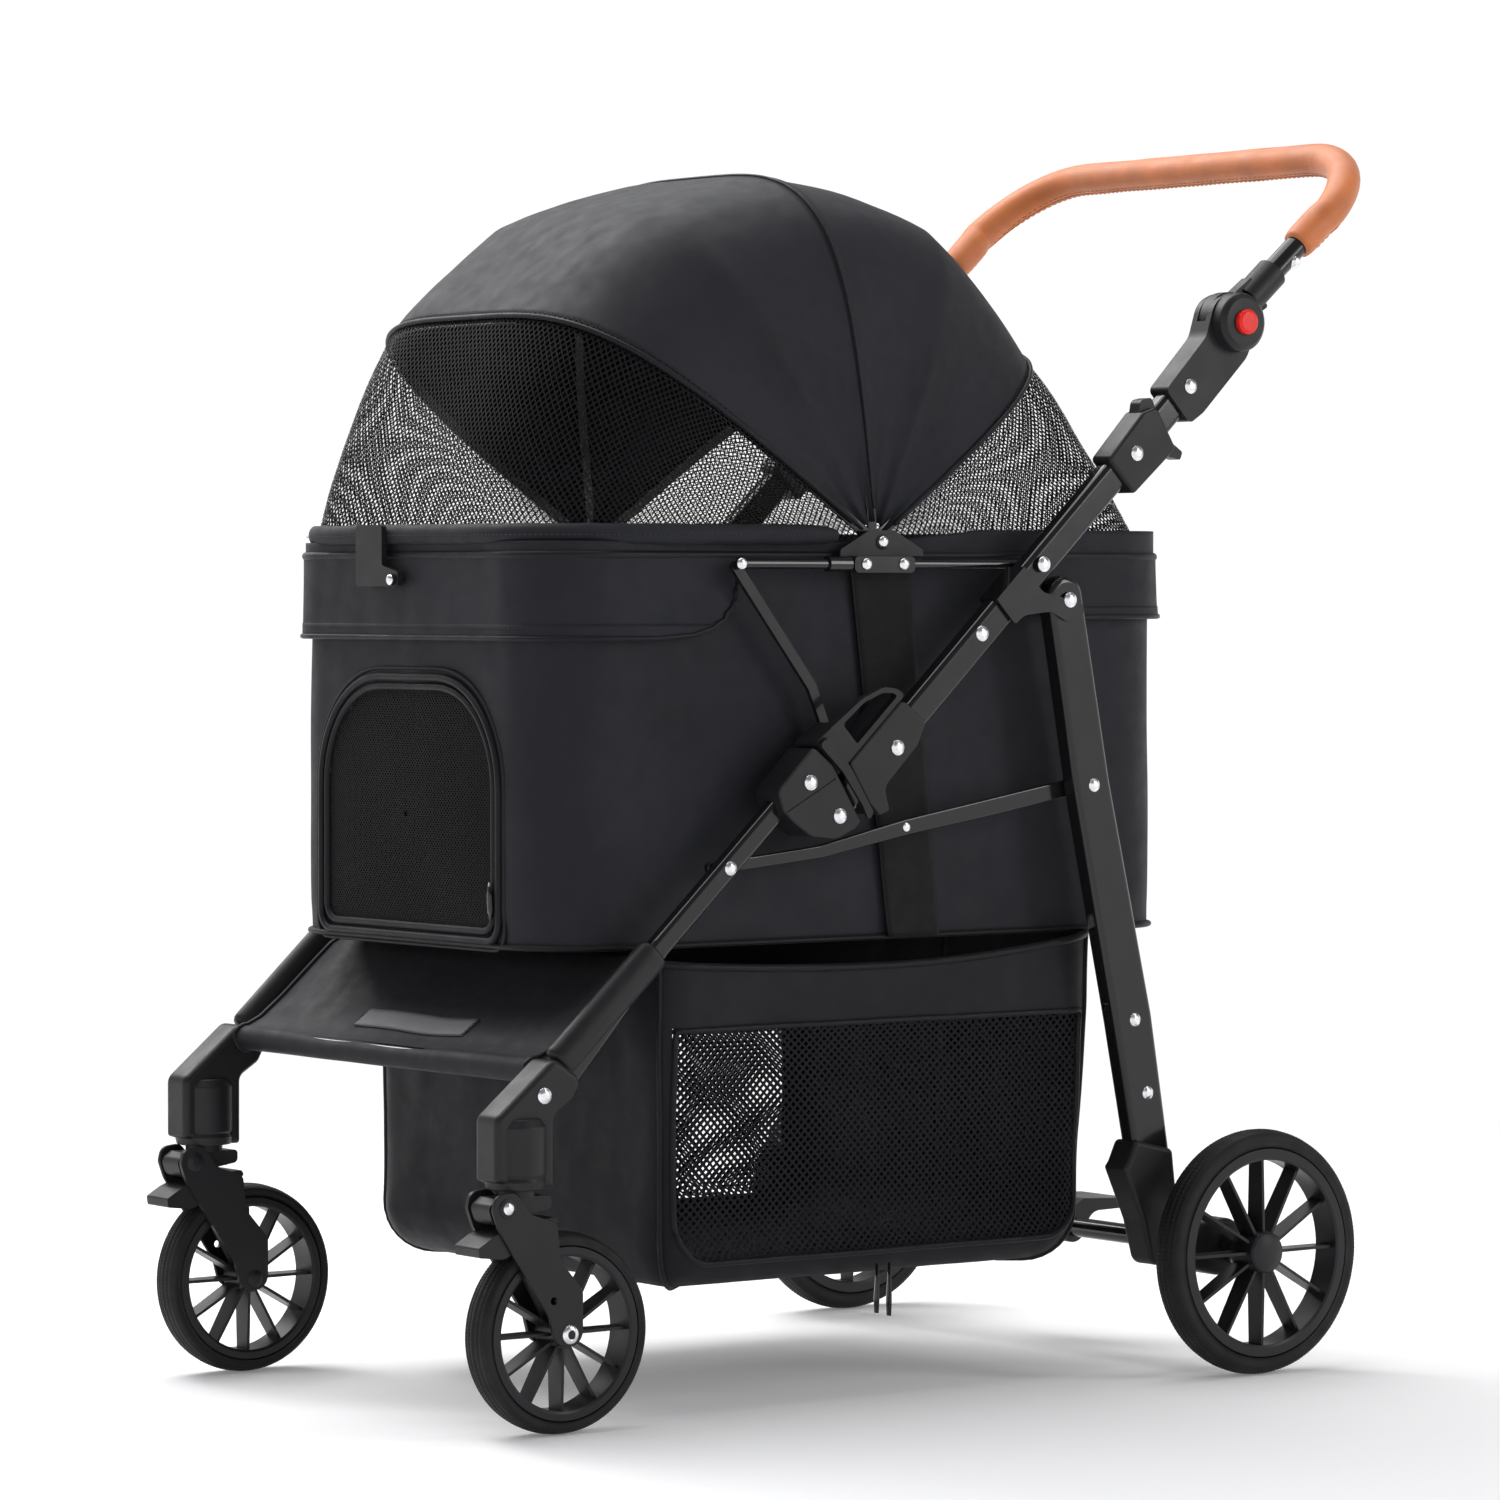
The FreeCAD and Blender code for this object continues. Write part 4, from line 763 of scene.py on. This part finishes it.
# ---------------------------------------------------------------- basket
def basket():
    line, out = rounded_path(**BASKET)
    levels = [(z, 0.0) for z in np.linspace(BASKET_TOP, BASKET_FLOOR + BASKET_ROUND, 48)]
    for turn in np.linspace(0, math.pi / 2, 9)[1:]:
        levels.append((BASKET_FLOOR + BASKET_ROUND * (1 - math.sin(turn)),
                       BASKET_ROUND * (1 - math.cos(turn))))
    rows = []
    middle_y = (BASKET["front"] + BASKET["back"]) / 2
    for z, inset in levels:
        depth = (BASKET_TOP - z) / (BASKET_TOP - BASKET_FLOOR)
        row = []
        for (x, y), (ox, oy) in zip(line, out):
            flatness = max(abs(ox), abs(oy)) ** 8
            slack = math.sin(math.pi * min(depth * 1.15, 1.0)) * flatness
            upper = max(1 - depth * 3, 0)
            rear = min(max((y - middle_y) / 0.208, 0.0), 1.0)
            near_side = 1.0 if x > 0 else 0.3
            droop = 0.009 * near_side * (1 - ((y - middle_y) / 0.22) ** 2) * abs(ox) * upper
            droop -= BASKET_REAR_RISE * rear ** 2 * upper
            wave = ripple((x, y, z), 10.0, 0.0045, (1, 1, 0.7), 15.0) * min(depth * 5, 1)
            crease = ripple((x, y, z), 34.0, 0.0012, (1, 1, 0.6), 17.0)
            push = wave + crease - 0.0035 * slack - inset
            lean = BASKET_REAR_LEAN * rear ** 3 * (1 - depth)
            row.append((x + ox * push, y + oy * push + lean, z - droop))
        rows.append(row)
    last = np.array(rows[-1])
    for share in np.linspace(1.0, 0.02, 12)[1:]:
        centre = np.array([0, middle_y, 0])
        ring = centre + (last - centre) * share
        sag = [ripple(p, 9.0, 0.004, seed=20.0) - 0.002 for p in ring]
        ring[:, 2] = last[:, 2] + np.array(sag) * (1 - share)
        rows.append(ring.tolist())
    points = np.array(rows)
    shape = make_mesh("basket_cloth", points.reshape(-1, 3), grid_faces(*points.shape[:2]),
                      cloth_uv(points))
    shape.data.materials.append(LOOKS["basket_cloth"])
    shape.data.materials.append(LOOKS["basket_net"])
    low, high, front, back, corner = (BASKET_FLOOR + 0.020, BASKET_SEAM, BASKET["front"] + 0.017,
                                      BASKET["back"] - 0.008, 0.034)
    for face in shape.data.polygons:
        x, y, z = face.center
        dy = max(front + corner - y, y - back + corner, 0)
        dz = max(low + corner - z, 0)
        inside = math.hypot(dy, dz) < corner and z < high and z > low
        if abs(x) > BASKET["half"] - 0.02 and abs(face.normal.x) > 0.4 and inside:
            face.material_index = 1
    layer = shape.modifiers.new("thickness", "SOLIDIFY")
    layer.thickness = 0.0011
    layer.offset = -1
    trims = []
    uvs = np.array([tuple(v.co) for v in shape.data.vertices])
    for side, word in ((1, "left"), (-1, "right")):
        wall = uvs[(uvs[:, 0] * side > BASKET["half"] - 0.03)]
        path = []
        for y, z in panel_outline(front, back, low, high, corner):
            near = wall[np.argsort((wall[:, 1] - y) ** 2 + (wall[:, 2] - z) ** 2)[:4]]
            path.append((near[:, 0].mean() + side * 0.0006, y, z))
        smooth = np.array(path)
        for _ in range(3):
            smooth[:, 0] = (np.roll(smooth[:, 0], 1) + smooth[:, 0] * 2 + np.roll(smooth[:, 0], -1)) / 4
        trims.append(tube(f"basket_net_binding_{word}", smooth, 0.0024, LOOKS["piping"], 8, True))
    top = points[0]
    trims.append(tube("basket_top_hem", resampled(top, 0.005)[:-1], 0.0030, LOOKS["piping"], 8, True))
    for x_sign in (1, -1):
        for y_edge in (BASKET["front"], BASKET["back"]):
            sideways = np.abs(line[:, 0] - x_sign * (BASKET["half"] - 0.005))
            index = np.argmin(sideways + np.abs(line[:, 1] - y_edge - math.copysign(0.005, -y_edge)))
            edge = points[:57, index] + (x_sign * 0.001, 0, 0)
            trims.append(tube(f"basket_corner_piping_{x_sign}_{y_edge > 0}", edge, 0.0022,
                              LOOKS["piping"], 8))
    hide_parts("basket")
    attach(shape, "lower_frame")
    for trim in trims:
        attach(trim, "lower_frame")
    for y, drop in ((-0.057, 0.028), (-0.045, 0.031)):
        path = [(0.196, y, BASKET_FLOOR + 0.010), (0.1965, y, BASKET_FLOOR),
                (0.197, y - 0.001, BASKET_FLOOR - drop * 0.6), (0.197, y - 0.001, BASKET_FLOOR - drop)]
        pull = tube(f"basket_zip_pull_{'front' if y < -0.05 else 'back'}", path,
                    [0.0014, 0.0022, 0.0034, 0.0026], MATERIALS["frame_black"], 10, False, (0.5, 1.0))
        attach(pull, "lower_frame")


def panel_outline(front, back, low, high, corner):
    """Net panel seen from the side (Y, Z), round at its lower corners."""
    points = [(y, high) for y in np.linspace(back, front, 60)]
    points += [(front, z) for z in np.linspace(high, low + corner, 28)[1:]]
    for i in range(1, 10):
        a = math.radians(180 + 10 * i)
        points.append((front + corner + corner * math.cos(a), low + corner + corner * math.sin(a)))
    points += [(y, low) for y in np.linspace(front + corner, back - corner, 52)[1:]]
    for i in range(1, 10):
        a = math.radians(270 + 10 * i)
        points.append((back - corner + corner * math.cos(a), low + corner + corner * math.sin(a)))
    points += [(back, z) for z in np.linspace(low + corner, high, 28)[1:-1]]
    return points


# ---------------------------------------------------------------- footboard
PATCH_HALF, PATCH_FRONT, PATCH_BACK = 0.078, -0.359, -0.345


def footboard_patch(board):
    """Grey tape sewn flat on the footboard."""
    rows = board[(board[:, 45, 1] > PATCH_FRONT - 0.002) & (board[:, 45, 1] < PATCH_BACK + 0.002)]
    strip = rows[:, np.abs(rows[0, :, 0]) < PATCH_HALF]
    tape = cloth("footboard_tape", strip + (0, -0.0006, 0.0010), LOOKS["grey_patch"], 0.0008)
    edge = np.concatenate([strip[0], strip[1:-1, -1], strip[-1][::-1], strip[1:-1, 0][::-1]])
    thread = stitches("footboard_tape_stitches", edge + (0, -0.0007, 0.0014), (0, -0.6, 0.8),
                      LOOKS["thread"])
    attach(thread, "lower_frame")
    return tape


def footboard():
    """Cloth stretched between the front legs, rolled round the cross tube."""
    profile = [(-0.380 + 0.0098 * math.cos(math.radians(d)), 0.267 + 0.0098 * math.sin(math.radians(d)))
               for d in range(300, 89, -15)]
    rise = [(-0.378, 0.2768), (-0.366, 0.2825), (-0.345, 0.2995), (-0.320, 0.3215),
            (-0.300, 0.3385), (-0.288, 0.3445), (-0.272, 0.3470)]
    line = resampled(np.array([(0, y, z) for y, z in profile + rise]), 0.004)
    rows = []
    for k, (_, y, z) in enumerate(line):
        share = k / (len(line) - 1)
        row = []
        for x in np.linspace(-0.2045, 0.2045, 90):
            middle = 1 - (x / 0.205) ** 2
            dip = 0.006 * middle * math.sin(math.pi * share) ** 2
            wave = ripple((x, y, z), 16.0, 0.0016, seed=31.0) * min(share * 3, 1)
            row.append((x, y, z - dip + wave))
        rows.append(row)
    points = np.array(rows)
    board = cloth("footboard_cloth", points, LOOKS["basket_cloth"], 0.0018)
    trims = []
    for column, word in ((0, "right"), (-1, "left")):
        trims.append(tube(f"footboard_edge_{word}", points[:, column], 0.0024, LOOKS["piping"], 8))
    trims.append(footboard_patch(points))
    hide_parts("footboard")
    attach(board, "lower_frame")
    for trim in trims:
        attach(trim, "lower_frame")


# ---------------------------------------------------------------- handle grip
def handle_path(start, spacing=0.004):
    """Centre line of the grip, from the left end round the bar to the right end."""
    run = math.hypot(BAR_Y - HANDLE_START.y, BAR_Z - HANDLE_START.z)
    direction = ((BAR_Y - HANDLE_START.y) / run, (BAR_Z - HANDLE_START.z) / run)
    lean = (BAR_HALF - LANE) / run
    flat = [(LANE + lean * start, start), (LANE + lean * (run - BAR_BEND), run - BAR_BEND)]
    for i in range(1, 13):
        a = math.radians(90 * i / 12)
        flat.append((BAR_HALF - BAR_BEND + BAR_BEND * math.cos(a),
                     run - BAR_BEND + BAR_BEND * math.sin(a)))
    flat += [(-x, along) for x, along in flat[::-1]]
    points = [(x, HANDLE_START.y + direction[0] * a, HANDLE_START.z + direction[1] * a)
              for x, a in flat]
    return resampled(points, spacing)


def grip():
    path = handle_path(GRIP_FROM)
    count = len(path)
    ends = np.minimum(np.arange(count), np.arange(count)[::-1]) * 0.004
    radius = GRIP_RADIUS * (1 - 0.10 * np.exp(-ends / 0.003))
    radius = radius * (1 + np.array([ripple(p, 30.0, 0.03, seed=41.0) for p in path]))
    sides = 28
    sleeve = tube("grip_leather", path, radius, MATERIALS["tan_leather"], sides)
    ahead = np.gradient(path, axis=0)
    ahead /= np.linalg.norm(ahead, axis=1)[:, None]
    inward = np.cross(ahead, np.cross(ahead, [0.0, 0.25, 1.0]))
    inward /= np.linalg.norm(inward, axis=1)[:, None]
    seam = path + inward * (radius[:, None] * 0.995)
    cord = tube("grip_seam", seam[2:-2], 0.0009, MATERIALS["tan_leather"], 6)
    threads = []
    for sign in (1, -1):
        side = np.cross(ahead, inward) * sign
        place = path + (inward * 0.955 + side * 0.27) * (radius[:, None] * 1.02)
        threads.append(stitches(f"grip_stitches_{'in' if sign > 0 else 'out'}", place[3:-3],
                                (0, -0.2, -1), LOOKS["tan_thread"], 0.0055, 0.0005))
    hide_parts("handle_grip")
    for piece in (sleeve, cord, *threads):
        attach(piece, "handle")


# ---------------------------------------------------------------- tyres
def tyre(name, centre, radius, depth, width, node, body):
    """Tyre with smooth walls and a fine diagonal tread."""
    half = width / 2
    section = []
    for i in range(61):
        a = math.pi * i / 60
        across = -math.cos(a)
        bulge = math.sin(a) ** 0.5
        section.append((across * half * (0.90 + 0.10 * min(1, bulge * 1.2)),
                        radius - depth + depth * bulge))
    around = 540
    points = []
    for k in range(around):
        turn = 2 * math.pi * k / around
        row = []
        for x, r in section:
            tread = max(0.0, (r - (radius - depth * 0.30)) / (depth * 0.30))
            wave = math.sin(turn * 90 + x * 620) * math.sin(turn * 90 - x * 620)
            rib = math.cos(x / half * math.pi * 3)
            groove = 0.0009 * (0.5 + 0.5 * math.tanh(3 * (wave + 0.25 * rib)))
            ridge = 0.0005 * math.exp(-((r - (radius - depth * 0.55)) / 0.0008) ** 2)
            reach = r - 0.0009 * min(tread * 3, 1) + groove * min(tread * 3, 1) + ridge
            row.append((centre[0] + x, centre[1] + reach * math.cos(turn),
                        centre[2] + reach * math.sin(turn)))
        points.append(row)
    grid = np.array(points)
    rows, columns = grid.shape[:2]
    faces = grid_faces(rows, columns)
    last = (rows - 1) * columns
    faces += [(last + j, last + j + 1, j + 1, j) for j in range(columns - 1)]
    faces += [(i * columns, i * columns + columns - 1,
               ((i + 1) % rows) * columns + columns - 1, ((i + 1) % rows) * columns)
              for i in range(rows)]
    obj = make_mesh(name, grid.reshape(-1, 3), [f[::-1] for f in faces])
    obj.data.materials.append(MATERIALS["tyre_rubber"])
    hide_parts(node)
    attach(obj, body)


def tyres():
    for side, word in ((1, "left"), (-1, "right")):
        for end, depth in (("front", 0.0098), ("rear", 0.0138)):
            node = f"{end}_tyre_{word}"
            low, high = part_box(node)
            middle = (low + high) / 2
            tyre(f"{end}_tyre_tread_{word}", middle, (high.z - low.z) / 2, depth,
                 high.x - low.x, node, f"{end}_wheel_{word}")


# ---------------------------------------------------------------- small hardware
def dome(name, centre, outward, radius, height, material, body, hollow=0.0):
    """Turned cap on an axis; hollow is the share of its radius taken by a centre dimple."""
    axis = Vector(outward).normalized()
    side = axis.orthogonal().normalized()
    lift = axis.cross(side)
    sides, steps = 40, 12
    points = []
    for i in range(steps + 1):
        share = math.cos(math.pi / 2 * i / steps)
        rise = height * math.sin(math.pi / 2 * i / steps)
        if share < hollow:
            rise -= height * 0.8
        for k in range(sides):
            turn = 2 * math.pi * k / sides
            reach = radius * max(share, 0.01)
            points.append(Vector(centre) + axis * rise
                          + (side * math.cos(turn) + lift * math.sin(turn)) * reach)
    cap = make_mesh(name, points, grid_faces(steps + 1, sides, wrap_columns=True))
    cap.data.materials.append(material)
    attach(cap, body)


def hardware():
    """Bright bolts of the casters and front clip, and the broad caps of the rear wheels."""
    steel, plastic = MATERIALS["rivet_steel"], MATERIALS["rim_plastic"]
    face = LANE + FORK_FACE
    for side, word in ((1, "left"), (-1, "right")):
        outward = (side, 0, 0)
        dome(f"axle_bolt_{word}", (side * face, *FRONT_AXLE), outward, 0.0072, 0.0026, steel,
             f"fork_{word}", 0.45)
        dome(f"fork_rivet_{word}", (side * face, *KNUCKLE_PIN), outward, 0.0052, 0.0030, steel,
             f"fork_{word}")
        low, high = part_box(f"rear_rim_{word}")
        hub = (low + high) / 2
        outer = high.x if side > 0 else low.x
        dome(f"rear_hub_cap_{word}", (outer - side * 0.0040, hub.y, hub.z), outward, 0.0165, 0.0052,
             plastic, f"rear_wheel_{word}")
        for number, (x, y, z, body) in enumerate(SIDE_RIVETS):
            rides = f"{body}_{word}" if body == "fold_brace" else body
            dome(f"side_rivet_{number}_{word}", (side * x, y, z), outward, 0.0047, 0.0026, steel,
                 rides)
        leg_sleeve(side, word)
    dome("clip_rivet", CLIP_PIN, (0, -1, 0), 0.0042, 0.0024, steel, "front_clip")


def leg_sleeve(side, word):
    """Moulded sleeve round the lower end of a front leg."""
    foot, knee = (np.array([side * LANE, *end]) for end in (LEG_FOOT, LEG_KNEE))
    run = np.linalg.norm(knee - foot)
    path = [foot + (knee - foot) * at / run for at in np.arange(*SLEEVE_SPAN, 0.002)]
    reach = np.minimum(np.arange(len(path)), np.arange(len(path))[::-1]) * 0.002
    radius = SLEEVE_HALF * (1 - 0.14 * np.exp(-reach / 0.0015))
    sleeve = tube(f"leg_sleeve_{word}", path, radius, MATERIALS["joint_plastic"], 32, False,
                  (0.72, 1.0))
    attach(sleeve, "lower_frame")


# ---------------------------------------------------------------- CAD nodes
def finish_nodes():
    """Real materials on every CAD piece that stays in view."""
    slots = {p["node"]: p["material_slot"] for p in frame["record"]["subparts"]}
    for name, obj in frame["nodes"].items():
        obj.data.materials.clear()
        obj.data.materials.append(MATERIALS[slots[name]])
        bevel = obj.modifiers.new("soft_edges", "BEVEL")
        bevel.width = 0.0005
        bevel.segments = 2
        bevel.limit_method = "ANGLE"
        bevel.angle_limit = math.radians(38)
        bevel.harden_normals = True


# ---------------------------------------------------------------- stage
SKY_FILL = 0.20
FLOOR_RADIUS, FLOOR_GLOW = 3.2, 0.14
LAMPS = (
    # name, place, aim, size, power in watts
    ("overhead", (-0.9, -0.1, 3.2), (0, 0, 0.2), (3.2, 3.2), 112),
    ("back_left", (-2.3, -0.4, 2.5), (0, 0, 0.7), (1.0, 2.2), 42),
    ("right_edge", (3.0, 2.2, 2.0), (0, 0.1, 0.5), (0.7, 2.4), 30),
)


def area_light(name, place, target, size, power, colour=(1, 1, 1)):
    data = bpy.data.lights.new(name, "AREA")
    data.shape = "RECTANGLE"
    data.size, data.size_y = size
    data.energy = power
    data.color = colour
    lamp = bpy.data.objects.new(name, data)
    lamp.location = place
    lamp.rotation_euler = (Vector(target) - Vector(place)).to_track_quat("-Z", "Y").to_euler()
    bpy.context.scene.collection.objects.link(lamp)


def horizon_glow():
    """Pale all round the horizon, dimmer overhead."""
    world = bpy.data.worlds.new("studio")
    world.use_nodes = True
    nodes, links = world.node_tree.nodes, world.node_tree.links
    coords = nodes.new("ShaderNodeTexCoord")
    split = nodes.new("ShaderNodeSeparateXYZ")
    ramp = nodes.new("ShaderNodeValToRGB")
    first, last = ramp.color_ramp.elements
    first.position, first.color = 0.20, (1.0, 1.0, 1.0, 1)
    last.position, last.color = 0.36, (SKY_FILL, SKY_FILL, SKY_FILL * 1.06, 1)
    links.new(coords.outputs["Generated"], split.inputs[0])
    links.new(split.outputs["Z"], ramp.inputs["Fac"])
    links.new(ramp.outputs["Color"], nodes["Background"].inputs["Color"])
    nodes["Background"].inputs["Strength"].default_value = 1.02
    bpy.context.scene.world = world


def floor_disc():
    """Pale studio floor that fades into the pale horizon."""
    around, reach = 96, FLOOR_RADIUS
    points = [(reach * math.cos(2 * math.pi * i / around), reach * math.sin(2 * math.pi * i / around), 0)
              for i in range(around)]
    floor = make_mesh("studio_floor", points, [tuple(range(around))])
    pale = Shader("studio_floor")
    pale.fixed(Base_Color=(0.90, 0.90, 0.905, 1), Roughness=0.8, Specular_IOR_Level=0.1,
               Emission_Color=(1, 1, 1, 1), Emission_Strength=FLOOR_GLOW)
    place = pale.place()
    length = pale.node("ShaderNodeVectorMath", operation="LENGTH")
    pale.link(place, length.inputs[0])
    fade = pale.node("ShaderNodeMapRange", interpolation_type="SMOOTHSTEP")
    fade.inputs["From Min"].default_value = FLOOR_RADIUS * 0.30
    fade.inputs["From Max"].default_value = FLOOR_RADIUS * 0.95
    pale.link(length.outputs["Value"], fade.inputs["Value"])
    clear = pale.node("ShaderNodeBsdfTransparent")
    mix = pale.node("ShaderNodeMixShader")
    pale.link(fade.outputs["Result"], mix.inputs[0])
    pale.link(pale.bsdf.outputs[0], mix.inputs[1])
    pale.link(clear.outputs[0], mix.inputs[2])
    pale.link(mix.outputs[0], pale.output.inputs["Surface"])
    floor.data.materials.append(pale.material)


def stage():
    floor_disc()
    horizon_glow()
    for name, place, target, size, power in LAMPS:
        area_light(name, place, target, size, power)


def camera():
    data = bpy.data.cameras.new("camera")
    data.lens = 144.18
    data.sensor_width = 36
    cam = bpy.data.objects.new("camera", data)
    azimuth, pitch = math.radians(53.83), math.radians(1.568)
    cam.location = (3.8651, -2.8604, 0.6246)
    look = Vector((-math.sin(azimuth) * math.cos(pitch), math.cos(azimuth) * math.cos(pitch),
                   -math.sin(pitch)))
    cam.rotation_euler = look.to_track_quat("-Z", "Y").to_euler()
    bpy.context.scene.collection.objects.link(cam)
    bpy.context.scene.camera = cam


finish_nodes()
canopy()
canopy_bumper()
carrier_shell()
rim_tape()
valance()
straps()
door()
basket()
footboard()
grip()
tyres()
hardware()
stage()
camera()
bpy.context.scene.view_settings.view_transform = "Standard"
